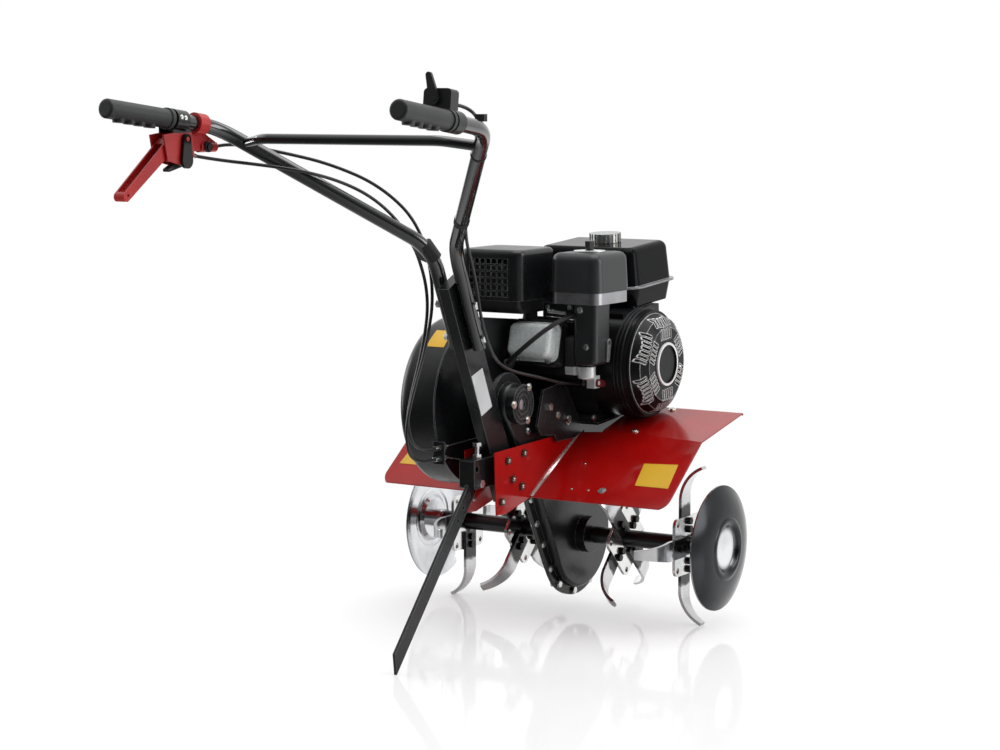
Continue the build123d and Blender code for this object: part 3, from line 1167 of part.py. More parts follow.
def on_clamp(shape):
    """Moves a shape from the throttle clamp's frame, seen from the rear, to its place."""
    return handle_frame(1, THROTTLE_AHEAD) * shape


def throttle_box():
    half = THROTTLE_BOX_W / 2
    box = block_between(THROTTLE_BOX_X, THROTTLE_BOX_Z, (-half, half))
    box = fillet(box.edges().filter_by(Axis.Z), THROTTLE_BOX_R)
    box += Cylinder(TUBE_R + CLAMP_T, THROTTLE_BOX_W)
    box += Pos(*THROTTLE_PIVOT, half) * extrude(Circle(PIN_R), amount=THROTTLE_T + 2 * GAP)
    return on_clamp(box - Cylinder(TUBE_R + SEAT, 2 * THROTTLE_BOX_W))


def throttle_lever():
    """Thumb lever on the rear face of the box."""
    outline = capsule(THROTTLE_PIVOT, THROTTLE_R, THROTTLE_TIP, THROTTLE_TIP_R)
    outline -= at(THROTTLE_PIVOT, Circle(PIN_R + RUN))
    return on_clamp(Pos(0, 0, THROTTLE_BOX_W / 2 + GAP) * extrude(outline, amount=THROTTLE_T))


def starter_grip():
    """Crosswise pull handle in front of the blower housing, with the stub that holds the rope."""
    wide, deep, tall = STARTER_GRIP
    bar = fillet(block_between((-wide / 2, wide / 2), (0, deep), (-tall / 2, tall / 2)).edges(), STARTER_R)
    bar += Rot(90, 0, 0) * Cylinder(STARTER_STUB_R, 2 * STARTER_STUB)
    return engine(Pos(STARTER_X, 0, 0) * Rot(STARTER_RISE, 0, 0) * Pos(0, FAN_R + STARTER_OUT, 0) * bar)


def side_lever(pivot, tip, x):
    """Flat lever on a pin of the side view, measured from the crankshaft's line."""
    lever = yz(capsule(pivot, LEVER_EYE_R, tip, LEVER_END_R), x, x + LEVER_T)
    return fitted(lever - yz(ring(pivot, PIN_R + RUN), x, x + LEVER_T))


def lever_pin(pivot, x):
    """Pin of such a lever, from the wall behind it to just past its outer face."""
    return fitted(yz(ring(pivot, PIN_R), x - GAP - PIN_IN, x + LEVER_T + GAP))


CHOKE_X = ELBOW_X[1] + GAP
VALVE_X = BOWL_X + BOWL_R
save("throttle_box", throttle_box())
save("throttle_lever", throttle_lever())
save("starter_grip", starter_grip())
save("choke_lever", side_lever(CHOKE_PIVOT, CHOKE_TIP, CHOKE_X))
PIECES["air_cleaner_base"] += lever_pin(CHOKE_PIVOT, CHOKE_X)
save("fuel_lever", side_lever(FUEL_PIVOT, FUEL_TIP, VALVE_X + GAP))
cock = fitted(block_between((BOWL_X, VALVE_X), COCK_Y, (COCK_LOW, BOWL_Z[0] + BOWL_R / 3)))
PIECES["carburettor"] += cock + lever_pin(FUEL_PIVOT, VALVE_X + GAP)
save("throttle_arm", side_lever(GOVERNOR_PIVOT, GOVERNOR_TIP, GOVERNOR_X + GAP))
governor_plate = make_face(Polyline(*GOVERNOR_PLATE, close=True))
PIECES["engine_block"] += fitted(yz(governor_plate, GOVERNOR_X - LEVER_T, GOVERNOR_X))
PIECES["engine_block"] += lever_pin(GOVERNOR_PIVOT, GOVERNOR_X + GAP)


# Control cables, each a round sheath along its whole route


def cable(name, points):
    """Sheath of straight runs and arcs that fill most of each corner."""
    spots = [Vector(*point) for point in points]
    radii = []
    for before, here, after in zip(spots, spots[1:], spots[2:]):
        turn = (here - before).get_angle(after - here)
        run = min((here - before).length, (after - here).length)
        radii.append(0.45 * run / math.tan(math.radians(turn) / 2))
    print(name, "bend radii", [round(r) for r in radii])
    path = FilletPolyline(*spots, radius=radii)
    sheath = swept(path, CABLE_R)
    share = sheath.volume / (math.pi * CABLE_R**2 * path.length)
    print(name, "length", round(path.length), "volume share", share)
    save(name, sheath)


def beside_arm(side, share, off):
    """Point at an offset from an arm's axis, with its share of the arm counted from the lower bend."""
    low = Vector(side * TUBE_X, *on_column(TUBE_BEND_Z))
    end = Vector(side * ARM_END[0], *ARM_END[1:])
    return low + (end - low) * share + Vector(*off)


CABLE_END_Y = ADJUSTER_Y - ADJUSTER_LONG / 2 - GAP
FORWARD_Z, REVERSE_Z = ADJUSTER_ZS
REVERSE_ROUTE = [(LEVER_X + BARREL_ASIDE, BARREL_Y[1] + 4 * GAP, BARREL_Z), (-272, -742, 934)]
for share, off in ((0.72, (-11, 20, 17)), (0.52, (-4, 32, 39)), (0.29, (-2, 35, 49)), (0.07, (-11, 28, 26))):
    REVERSE_ROUTE.append(beside_arm(-1, share, off))
REVERSE_ROUTE += [(-45, -436, 664), (-45, -467, 560), (-45, -510, 484), (-45, -537, 415)]
REVERSE_ROUTE += [(ADJUSTER_X, -512, REVERSE_Z - 2), (ADJUSTER_X, CABLE_END_Y, REVERSE_Z)]
FORWARD_ROUTE = [(LEVER_X, -838, 915), (-274, -800, 907)]
for share, off in ((0.75, (8, -16, -13)), (0.62, (18, -14, 6)), (0.47, (13, 7, 20)), (0.31, (6, 13, 25))):
    FORWARD_ROUTE.append(beside_arm(-1, share, off))
FORWARD_ROUTE += [beside_arm(-1, 0.16, (-6, 14, 12)), (-57, -474, 735), (-54, -441, 650)]
FORWARD_ROUTE += [(-54, -463, 560), (-54, -500, 484), (-54, -518, 430)]
FORWARD_ROUTE += [(-50, -496, FORWARD_Z + 1), (ADJUSTER_X, CABLE_END_Y, FORWARD_Z)]
throttle_front = handle_frame(1, THROTTLE_AHEAD + THROTTLE_BOX_W / 2 + 2 * GAP)
THROTTLE_ROUTE = [throttle_front.from_local_coords(Vector(-20, 30, 0)), (262, -800, 1000)]
THROTTLE_ROUTE += [beside_arm(1, share, (-2, 13, 20.5)) for share in (0.86, 0.14)]
THROTTLE_ROUTE += [(52, -452, 690), (50, -430, 610), (50, -388, 540)]
lower_end = [(50, -365, 14), (62, -275, -6), (62, -185, -28), (GOVERNOR_X + WIRE_R, -127, -33)]
THROTTLE_ROUTE += [(x, CRANK[0] + y, CRANK[1] + z) for x, y, z in lower_end]

cable("reverse_cable", REVERSE_ROUTE)
cable("forward_cable", FORWARD_ROUTE)
cable("throttle_cable", THROTTLE_ROUTE)


# Bolts that hold the frame together


def nutted_bolt(point, right, left):
    """Bolt across the machine with its head on the right and a nut on the left."""
    hexagon = at(point, RegularPolygon(HEAD_AF / 2, 6, major_radius=False))
    bolt = yz(hexagon, right, right + HEAD_H) + yz(hexagon, left - NUT_H, left)
    return bolt + yz(ring(point, BOLT_R), left, right)


def set_bolt():
    """Upright bolt in the top of the hitch socket, with a lock nut."""
    shank = Pos(0, SET_BOLT_Y, SOCKET_TOP - SET_BOLT_IN + GAP)
    bolt = shank * extrude(Circle(SET_BOLT_R), amount=SET_BOLT_IN + SET_BOLT_OUT)
    hexagon = RegularPolygon(SET_BOLT_AF / 2, 6, major_radius=False)
    for z in (SOCKET_TOP, SOCKET_TOP + SET_BOLT_OUT):
        bolt += Pos(0, SET_BOLT_Y, z) * extrude(hexagon, amount=NUT_H)
    return bolt


def frame_bolts():
    shapes = [nutted_bolt(point, FLANGE_T, -FLANGE_T) for point in CASE_BOLTS]
    for side in (1, -1):
        for point in by_input(FENDER_BOLTS):
            shapes.append(hex_bolt(point, side * FENDER_IN, side, FENDER_T + SHANK_PAST))
        for point in by_input(MOUNT_BOLTS):
            shapes.append(hex_bolt(point, side * (MOUNT_IN + MOUNT_T), side, MOUNT_T + SHANK_PAST))
    for z in HANDLE_BOLT_ZS:
        shapes.append(nutted_bolt(on_column(z), TUBE_X + TUBE_R, -TUBE_X - TUBE_R))
    shapes.append(nutted_bolt(along_bar(BAR_PIN), SOCKET_HALF_W, -SOCKET_HALF_W))
    return solids(shapes + [set_bolt()])


save("frame_bolts", frame_bolts())


# Every piece goes out with the origin on the ground, under the middle of the machine

BOX = Compound(list(PIECES.values())).bounding_box()
MIDDLE = Pos(0, -(BOX.min.Y + BOX.max.Y) / 2, 0)
for name, shape in PIECES.items():
    export_step(MIDDLE * shape, f"parts/{name}.step")
print("origin to the axle, along Y:", -(BOX.min.Y + BOX.max.Y) / 2)
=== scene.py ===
import math
from collections import namedtuple

import bmesh
import bpy
from mathutils import Matrix, Vector


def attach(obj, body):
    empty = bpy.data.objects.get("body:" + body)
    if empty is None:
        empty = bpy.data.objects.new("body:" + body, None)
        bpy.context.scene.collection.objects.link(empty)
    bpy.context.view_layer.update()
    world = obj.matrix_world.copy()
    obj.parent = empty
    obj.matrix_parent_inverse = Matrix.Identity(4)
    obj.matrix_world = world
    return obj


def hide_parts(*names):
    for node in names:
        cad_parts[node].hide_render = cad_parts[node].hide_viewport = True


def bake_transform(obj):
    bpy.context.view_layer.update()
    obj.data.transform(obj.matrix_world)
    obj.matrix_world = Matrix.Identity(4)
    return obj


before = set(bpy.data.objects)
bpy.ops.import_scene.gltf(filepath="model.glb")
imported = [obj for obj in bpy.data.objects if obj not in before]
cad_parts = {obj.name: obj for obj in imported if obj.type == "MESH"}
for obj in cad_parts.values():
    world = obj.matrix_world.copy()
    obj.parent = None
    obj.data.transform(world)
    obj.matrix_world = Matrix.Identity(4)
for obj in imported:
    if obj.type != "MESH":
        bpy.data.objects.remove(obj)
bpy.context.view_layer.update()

# Studio
# A pale floor that fades into a white surround, one large soft lamp overhead, a soft lamp on the right
# and a narrow strip on the left. The camera stands behind the machine and to its right, above the engine.
CAMERA_PLACE = (2.30899, -3.649875, 1.01826)
CAMERA_DIP = 6.69
CAMERA_BEARING = 31.32
CAMERA_LENS = 86.31
CAMERA_FILM = 36


def placed(name, data):
    """A new object in the scene."""
    made = bpy.data.objects.new(name, data)
    bpy.context.collection.objects.link(made)
    return made


camera = placed("camera", bpy.data.cameras.new("camera"))
camera.location = CAMERA_PLACE
camera.rotation_euler = (math.radians(90 - CAMERA_DIP), 0, math.radians(CAMERA_BEARING))
camera.data.lens = CAMERA_LENS
camera.data.sensor_width = CAMERA_FILM
bpy.context.scene.camera = camera
bpy.context.scene.view_settings.view_transform = "Standard"


def feed(node, sockets):
    """Sets or links a node's sockets. A list links several things to one socket."""
    for name, value in sockets.items():
        for item in value if isinstance(value, list) else [value]:
            if isinstance(item, Field):
                node.id_data.links.new(item.output, node.inputs[name])
            else:
                node.inputs[name].default_value = item


class Field:
    """One output of a node. Sums on it add Math nodes, and any other node comes from node()."""

    def __init__(self, tree, output=None):
        self.tree = tree
        self.output = output

    def node(self, kind, settings=None, sockets=None, out=0):
        """A new node of any kind, its settings made first and its sockets then set or linked."""
        made = self.tree.nodes.new(kind)
        for name, value in (settings or {}).items():
            setattr(made, name, value)
        feed(made, sockets or {})
        return Field(self.tree, made.outputs[out])

    def maths(self, operation, first, second=0.0):
        """A Math node on one or two values."""
        return self.node("ShaderNodeMath", {"operation": operation}, {0: first, 1: second})

    def __add__(self, other):
        return self.maths("ADD", self, other)

    def __radd__(self, other):
        return self.maths("ADD", other, self)

    def __sub__(self, other):
        return self.maths("SUBTRACT", self, other)

    def __rsub__(self, other):
        return self.maths("SUBTRACT", other, self)

    def __mul__(self, other):
        return self.maths("MULTIPLY", self, other)

    def __rmul__(self, other):
        return self.maths("MULTIPLY", other, self)

    def ramp(self, low, high, to_low=0.0, to_high=1.0):
        """The value carried from low..high to to_low..to_high, smoothly and clamped."""
        ends = {"From Min": low, "From Max": high, "To Min": to_low, "To Max": to_high}
        return self.node("ShaderNodeMapRange", {"interpolation_type": "SMOOTHSTEP"}, {"Value": self, **ends})

    def part(self, axis):
        """One of the vector's three numbers, by the letter of its axis."""
        return self.node("ShaderNodeSeparateXYZ", {}, {0: self}, out=axis)

    def along(self, way):
        """How far the vector goes in another's direction."""
        sockets = {0: self, 1: way}
        return self.node("ShaderNodeVectorMath", {"operation": "DOT_PRODUCT"}, sockets, out="Value")

    def tint(self, first, second):
        """A colour between two others, the value being the share of the second."""
        ends = [end if isinstance(end, Field) else (*end, 1) for end in (first, second)]
        return self.node("ShaderNodeMix", {"data_type": "RGBA"}, {0: self, 6: ends[0], 7: ends[1]}, out=2)

    def noise(self, waves, detail=3.0):
        """Cloudy noise on a place, with so many waves to the metre."""
        sockets = {"Vector": self, "Scale": waves, "Detail": detail, "Roughness": 0.55}
        return self.node("ShaderNodeTexNoise", {}, sockets)


def new_material(name):
    """An empty material, its Principled shader and the place on the piece in metres."""
    material = bpy.data.materials.new(name)
    material.use_nodes = True
    tree = material.node_tree
    tree.nodes.clear()
    output = tree.nodes.new("ShaderNodeOutputMaterial")
    shader = tree.nodes.new("ShaderNodeBsdfPrincipled")
    tree.links.new(shader.outputs[0], output.inputs[0])
    return material, shader, Field(tree).node("ShaderNodeTexCoord", out="Object")


# The floor turns to plain white with the distance from its centre. In reflections its near side is dimmed.
FLOOR_REACH = 30.0
FLOOR_CORNERS = ((-1, -1), (1, -1), (1, 1), (-1, 1))
FLOOR_COLOUR = (0.86, 0.86, 0.86, 1)
FLOOR_ROUGHNESS = 0.07
FLOOR_CENTRE = (0.05, 0.15, 0.0)
FLOOR_FADE = (0.6, 1.35, 0.38, 1.0)
FLOOR_FAR_WAY = (0.55, 0.8, 0.0)
FLOOR_DIM = (-0.9, 0.4, 0.93, 0.0)
WHITE = (1, 1, 1, 1)
NO_LIGHT = (0, 0, 0, 1)

floor_mesh = bpy.data.meshes.new("floor")
floor_points = [(x * FLOOR_REACH, y * FLOOR_REACH, 0) for x, y in FLOOR_CORNERS]
floor_mesh.from_pydata(floor_points, [], [(0, 1, 2, 3)])
floor_finish, floor_shader, floor_place = new_material("floor_gloss_white")
feed(floor_shader, {"Base Color": FLOOR_COLOUR, "Roughness": FLOOR_ROUGHNESS})
floor_lit = Field(floor_finish.node_tree, floor_shader.outputs[0])
from_centre = floor_place.node("ShaderNodeVectorMath", {"operation": "DISTANCE"},
                               {0: floor_place, 1: FLOOR_CENTRE}, out="Value")
fade = from_centre.ramp(*FLOOR_FADE) * floor_place.node("ShaderNodeLightPath", out="Is Camera Ray")
in_mirror = floor_place.node("ShaderNodeLightPath", out="Is Glossy Ray")
dim = in_mirror * floor_place.along(FLOOR_FAR_WAY).ramp(*FLOOR_DIM)
unlit = floor_lit.node("ShaderNodeEmission", {}, {"Color": NO_LIGHT, "Strength": 0.0})
glow = floor_lit.node("ShaderNodeEmission", {}, {"Color": WHITE, "Strength": 1.0})
dimmed = dim.node("ShaderNodeMixShader", {}, {0: dim, 1: floor_lit, 2: unlit})
faded = fade.node("ShaderNodeMixShader", {}, {0: fade, 1: dimmed, 2: glow})
feed(floor_finish.node_tree.nodes["Material Output"], {0: faded})
floor_mesh.materials.append(floor_finish)
floor = placed("floor", floor_mesh)

# The surround is plain white to the camera. As a light it is bright behind the machine, overhead and left.
BACK_WAY = (0.2, 0.95, 0.2)
BACK_LIGHT = (0.1, 0.85, 0.12, 1.0)
TOP_LIGHT = (0.3, 0.95, 0.12, 1.0)
LEFT_WAY = (-0.98, 0.15, 0.1)
LEFT_LIGHT = (0.45, 0.85, 0.12, 1.6)

world = bpy.data.worlds.new("studio")
bpy.context.scene.world = world
world.use_nodes = True
world.node_tree.nodes.clear()
sky = Field(world.node_tree)
seen = sky.maths("MAXIMUM", sky.node("ShaderNodeLightPath", out="Is Camera Ray"),
                 sky.node("ShaderNodeLightPath", out="Is Transmission Ray"))
direction = sky.node("ShaderNodeTexCoord", out="Generated")
back_light = direction.along(BACK_WAY).ramp(*BACK_LIGHT)
surround = sky.maths("MAXIMUM", back_light, direction.part("Z").ramp(*TOP_LIGHT))
surround = sky.maths("MAXIMUM", surround, direction.along(LEFT_WAY).ramp(*LEFT_LIGHT))
strength = seen + (1 - seen) * surround
background = sky.node("ShaderNodeBackground", {}, {"Color": WHITE, "Strength": strength})
feed(world.node_tree.nodes.new("ShaderNodeOutputWorld"), {0: background})

# Each lamp has its place and its width and height in metres, and its watts.
MACHINE_MIDDLE = Vector((0.0, 0.2, 0.5))
LAMPS = {
    "lamp_over": ((0.3, 0.5, 3.2), (2.6, 2.6), 55),
    "lamp_right": ((3.0, 1.2, 1.5), (1.4, 2.2), 45),
    "lamp_left": ((-3.0, -0.3, 1.0), (0.4, 2.4), 26),
}
for name, (place, size, watts) in LAMPS.items():
    light = bpy.data.lights.new(name, "AREA")
    light.shape = "RECTANGLE"
    light.size, light.size_y = size
    light.energy = watts
    lamp = placed(name, light)
    lamp.location = place
    lamp.rotation_euler = (MACHINE_MIDDLE - Vector(place)).to_track_quat("-Z", "Y").to_euler()


# Chain case and frame
# Two pressed steel halves bolted round the drive chain carry the machine. They are sprayed satin black,
# and so are the engine mount between the case and the engine and the flat plate behind the belt.
BEVEL_REACH = 0.0008
DRIFT_WAVES = 9
SPECKLE_WAVES = 900
PEEL_WAVES = 420
PEEL_DEPTH = 0.00002
DARKER = 0.82
LIGHTER = 1.15
LIGHTEST_ADDS = 0.0008
EDGE_HIGHLIGHT_WAVES = 35
EDGE_HIGHLIGHT_REACH = 0.0014
EDGE_HIGHLIGHT_BEND = (0.02, 0.14)
EDGE_HIGHLIGHT_PATCHES = (0.25, 0.5, 0.45, 1.0)
COAT_ROUGHNESS = 0.06


def softened(place, height, depth, reach):
    """A normal with rounded edges and a fine relief of the given depth in metres."""
    edge = place.node("ShaderNodeBevel", {"samples": 4}, {"Radius": reach})
    relief = {"Strength": 1.0, "Distance": depth, "Height": height, "Normal": edge}
    return place.node("ShaderNodeBump", {}, relief)


def edges(place, reach):
    """How far the surface turns within reach: nought on a flat, about 0.3 on a sharp corner."""
    rounded = place.node("ShaderNodeBevel", {"samples": 8}, {"Radius": reach})
    return 1 - rounded.along(place.node("ShaderNodeNewGeometry", out="Normal"))


def paint(name, colour, roughness, coat=0.0, peel=PEEL_DEPTH, gloss=0.5, reach=BEVEL_REACH, edge_highlight=None):
    """Sprayed enamel: slow drifts of shade, orange peel and, given a highlight colour, a painted highlight
    along the edges in patches.
    """
    material, shader, place = new_material(name)
    drift = place.noise(DRIFT_WAVES, 2)
    speckle = place.noise(SPECKLE_WAVES, 2)
    shade = drift.ramp(0.3, 0.7) * 0.7 + speckle.ramp(0.35, 0.7) * 0.3
    dark = [c * DARKER for c in colour]
    light = [min(1, c * LIGHTER + LIGHTEST_ADDS) for c in colour]
    base = shade.tint(dark, light)
    # Painted highlight: the edges are lightened towards the given colour, in patches.
    if edge_highlight:
        edge_glint = edges(place, EDGE_HIGHLIGHT_REACH).ramp(*EDGE_HIGHLIGHT_BEND) * place.noise(EDGE_HIGHLIGHT_WAVES).ramp(*EDGE_HIGHLIGHT_PATCHES)
        base = edge_glint.tint(base, edge_highlight)
    feed(shader, {
        "Base Color": base,
        "Roughness": drift.ramp(0.25, 0.75, roughness * 0.85, roughness * 1.2),
        "Coat Weight": coat,
        "Coat Roughness": COAT_ROUGHNESS,
        "Specular IOR Level": gloss,
        "Normal": softened(place, place.noise(PEEL_WAVES, 2), peel, reach),
    })
    return material


def dress(material, *names):
    """Puts a finish on CAD nodes."""
    for name in names:
        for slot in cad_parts[name].material_slots:
            slot.material = material


BLACK = (0.0055, 0.006, 0.0068)
# The paler edges on the black paint are a painted highlight along the edges, broken into patches.
EDGE_HIGHLIGHT_GREY = (0.17, 0.175, 0.18)
black_paint = paint("black_satin_enamel", BLACK, roughness=0.27, gloss=0.4, edge_highlight=EDGE_HIGHLIGHT_GREY)
dress(black_paint, "chain_case_left", "chain_case_right", "engine_mount", "belt_backplate")


# Bolts and cable adjusters
# Zinc plated steel, bright and faintly blue and yellow by turns. The bolts hold the case halves, the mount,
# the fenders, the column and the hitch. The nuts on the fenders' inner plates are darker and browner.
Finish = namedtuple("Finish", "colour roughness metal")
ZINC = Finish((0.78, 0.78, 0.77), 0.22, 1.0)
DARKER_BROWN_ZINC = Finish((0.13, 0.115, 0.095), 0.35, 1.0)
NUTS_BEYOND = (0.03, 0.032)
NUTS_BELOW = (0.372, 0.37)
TONE_WAVES = 60
WARMER = (1.0, 0.97, 0.88)
COOLER = (0.93, 0.97, 1.0)
GRAIN_WAVES = 1800
GRAIN_DEPTH = 0.00001
METAL_BEVEL = 0.0004
ZONE_WAVES = 22
ZONE_GRAIN = 1200


def plated(name, colour, roughness):
    """Metal with slow drifts of tone and a fine grain."""
    material, shader, place = new_material(name)
    drift = place.noise(TONE_WAVES)
    grain = place.noise(GRAIN_WAVES, 2)
    warm = [c * share for c, share in zip(colour, WARMER)]
    cool = [c * share for c, share in zip(colour, COOLER)]
    feed(shader, {
        "Base Color": drift.ramp(0.35, 0.65).tint(warm, cool),
        "Metallic": 1.0,
        "Roughness": grain.ramp(0.3, 0.7, roughness * 0.8, roughness * 1.3),
        "Normal": softened(place, grain, GRAIN_DEPTH, METAL_BEVEL),
    })
    return material


def zoned(name, mask_of, first, second, grain=ZONE_GRAIN, depth=GRAIN_DEPTH, reach=BEVEL_REACH, gloss=0.5):
    """Two finishes on one piece, parted by a mask."""
    material, shader, place = new_material(name)
    mask = mask_of(place)
    drift = place.noise(ZONE_WAVES).ramp(0.3, 0.7)
    shades = [drift.tint([c * 0.8 for c in finish.colour], finish.colour) for finish in (first, second)]
    rough = mask * (second.roughness - first.roughness) + first.roughness
    metal = first.metal
    if second.metal != first.metal:
        metal = mask * (second.metal - first.metal) + first.metal
    feed(shader, {
        "Base Color": mask.tint(*shades),
        "Roughness": rough + (drift - 0.5) * 0.06,
        "Metallic": metal,
        "Specular IOR Level": gloss,
        "Normal": softened(place, place.noise(grain, 2), depth, reach),
    })
    return material


def fender_nut(place):
    """The nuts on the fenders' inner plates, out from the middle and below the engine."""
    outward = place.maths("ABSOLUTE", place.part("X"))
    return outward.ramp(*NUTS_BEYOND) * place.part("Z").ramp(*NUTS_BELOW)


zinc = plated("bright_zinc", ZINC.colour, ZINC.roughness)
dress(zoned("zinc_and_darker_nuts", fender_nut, ZINC, DARKER_BROWN_ZINC), "frame_bolts")
dress(zinc, "cable_adjusters")


# Tine rotor
# Forged steel tines bolted to square plates on two tubes over the axle, with pressed soil discs outside.
# The tubes and the tines' roots are painted black; soil grinds the tines' ends bright.
AXLE_BACK = 427.975
AXLE_UP = 155
AXLE_LINE = (AXLE_BACK / 1000, AXLE_UP / 1000)
ROOT_PAINT = (0.083, 0.092)
ROOT_RAGGED = 0.02
ROOT_WAVES = 45
HUB_TUBE_EDGE = (0.0195, 0.0205)
DISC_BOSS = (0.044, 0.03)
STEEL = (0.52, 0.52, 0.54)
OXIDE_BLACK = (0.03, 0.03, 0.032)
BLACK_FINISH = Finish(BLACK, 0.3, 0.0)
GROUND_STEEL = Finish((0.62, 0.62, 0.63), 0.2, 1.0)
ZINC_PLATE = Finish((0.75, 0.75, 0.74), 0.2, 1.0)
DARK_DISC = Finish((0.03, 0.0315, 0.034), 0.2, 1.0)
BRIGHT_BOSS_AND_REFLECTION = Finish((0.72, 0.73, 0.75), 0.16, 1.0)


def off_line(place, line):
    """Distance from a line across the machine, in metres."""
    along = place.part("Y") - line[0]
    up = place.part("Z") - line[1]
    return place.maths("SQRT", along * along + up * up)


def worn_root(place):
    """Paint at the tine's root, worn through in a ragged line."""
    return (off_line(place, AXLE_LINE) + place.noise(ROOT_WAVES) * ROOT_RAGGED).ramp(*ROOT_PAINT)


def bright_flange(place):
    """The plates round the tubes, which stand clear of the paint."""
    return off_line(place, AXLE_LINE).ramp(*HUB_TUBE_EDGE)


def bright_boss_and_painted_reflection(place):
    """The boss in the middle of a disc, and the disc's inner face, which is painted bright as a reflection.
    """
    facing = place.node("ShaderNodeNewGeometry", out="Normal").part("X")
    outward = place.part("X").ramp(-0.01, 0.01, -1.0, 1.0)
    # Painted reflection: the inner faces are made bright, the outer faces keep the dark finish.
    inner = (facing * outward).ramp(0.05, -0.05)
    return place.maths("MAXIMUM", off_line(place, AXLE_LINE).ramp(*DISC_BOSS), inner)


steel = plated("machined_steel", STEEL, roughness=0.32)
black_bolt = plated("black_oxide_steel", OXIDE_BLACK, roughness=0.35)
dress(zoned("ground_tine_steel", worn_root, BLACK_FINISH, GROUND_STEEL), "tines_left", "tines_right")
dress(zoned("black_tube_zinc_plate", bright_flange, BLACK_FINISH, ZINC_PLATE), "tine_hubs")
dress(zoned("pressed_disc_steel", bright_boss_and_painted_reflection, DARK_DISC, BRIGHT_BOSS_AND_REFLECTION), "soil_discs")
dress(black_bolt, "tine_bolts")
dress(black_paint, "tine_shaft")
dress(steel, "shaft_bearings", "drive_chain", "input_shaft")


# Column, hitch and drag bar
# A flat steel tube carries the handles; behind it a welded socket holds the drag bar on a pin.
# All are sprayed black, and a bare pale plate is stuck on the column's right side.
COLUMN_PLATE = ((11, -402, 507), (11, -364, 519), (11, -330, 444), (11, -367, 430))
FOIL_PALE = (0.55, 0.56, 0.57)
FOIL_THICK = 0.0004
FOIL_STEPS = 8


def spot(x, y, z):
    """A point in metres from millimetres, with Y counted from the tine axle and Z from the ground."""
    return Vector((x / 1000, (y + AXLE_BACK) / 1000, z / 1000))


def piece(name, data, material):
    """A mesh or a curve put in the scene with its finish."""
    data.materials.append(material)
    return placed(name, data)


def laid_on(name, node, corners, material):
    """A thin plate that follows the surface of a CAD node between four corners in millimetres."""
    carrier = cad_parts[node]
    top_left, top_right, low_right, low_left = [spot(*corner) for corner in corners]
    points = []
    faces = []
    for row in range(FOIL_STEPS + 1):
        for column in range(FOIL_STEPS + 1):
            top = top_left.lerp(top_right, column / FOIL_STEPS)
            low = low_left.lerp(low_right, column / FOIL_STEPS)
            _, place, normal, _ = carrier.closest_point_on_mesh(top.lerp(low, row / FOIL_STEPS))
            points.append(place + normal * FOIL_THICK)
    for row in range(FOIL_STEPS):
        for column in range(FOIL_STEPS):
            first = row * (FOIL_STEPS + 1) + column
            faces.append((first, first + 1, first + FOIL_STEPS + 2, first + FOIL_STEPS + 1))
    mesh = bpy.data.meshes.new(name)
    mesh.from_pydata(points, [], faces)
    plate = piece(name, mesh, material)
    thick = plate.modifiers.new("thickness", "SOLIDIFY")
    thick.thickness = FOIL_THICK
    thick.offset = 0
    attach(plate, "chassis")


dress(black_paint, "handle_column", "hitch_socket", "drag_bar")
pale_foil = paint("pale_bare_plate", FOIL_PALE, roughness=0.35)
laid_on("column_plate", "handle_column", COLUMN_PLATE, pale_foil)


# Belt drive
# A V-belt, steel pulleys on the crankshaft and the input shaft, and a sprung idler run under a pressed
# black cover. The cover has a small bare yellow plate on its rim.
RIM_PLATE = ((-66, -342, 587), (-104, -342, 587), (-104, -380, 559), (-66, -380, 559))
RUBBER_BLACK = (0.012, 0.012, 0.013)
FOIL_YELLOW = (0.62, 0.36, 0.01)
rubber = paint("black_rubber", RUBBER_BLACK, roughness=0.62, gloss=0.35, peel=0.00004)
yellow_foil = paint("yellow_bare_plate", FOIL_YELLOW, roughness=0.35)
dress(black_paint, "belt_cover")
dress(rubber, "drive_belt")
dress(steel, "driven_pulley", "crankshaft", "engine_pulley", "idler_arm", "idler_pulley", "reverse_arm")
laid_on("belt_cover_plate", "belt_cover", RIM_PLATE, yellow_foil)


# Fenders
# Folded sheet steel over the tines, sprayed gloss red and bolted to the frame plates behind.
# A rounded bead along the fold carries a painted highlight in pale pink; each outer panel carries a bare
# yellow plate, screws and rivets.
RED = (0.33, 0.003, 0.0025)
RED_FINISH = Finish(RED, 0.2, 0.0)
FOLD_HIGHLIGHT_PINK = Finish((0.85, 0.68, 0.66), 0.25, 0.75)
FOLD_HIGHLIGHT_WAVES = 70
FENDER_PLATE = ((220, -122, 326), (292, -122, 329), (298, -175, 292), (228, -174, 292))
PANEL_SCREWS = (((152, -33.4, 372.5), (0, -0.21, 0.98)), ((169, -193.7, 280.3), (0, -0.52, 0.85)),
                ((167, 95, 400.9), (0, -0.21, 0.98)))
PANEL_RIVETS = (((96, -129, 317.2), (0, -0.5, 0.87)), ((105, -196, 278.9), (0, -0.5, 0.87)),
                ((140, -195.7, 279), (0, -0.51, 0.86)))
STUD_OUT = 38.6
STUD_SPOTS = ((-254, 349), (-312, 342), (-294, 305), (-262, 287), (-334, 268))
Head = namedtuple("Head", "radius height sides")
STUD_END = Head(0.0026, 0.004, 16)
PANEL_SCREW_HEAD = Head(0.0055, 0.007, 6)
RIVET_HEAD = Head(0.0018, 0.002, 16)
WASHER_WIDE = 1.45
WASHER_THICK = 0.35
WASHER_SIDES = 24
FOLD_R = 0.0042
FOLD_OUT = 33.5
FOLD_TOP = (-27, 370)
FOLD_FOOT = (-226, 263)
ROUND_SIDES = 16


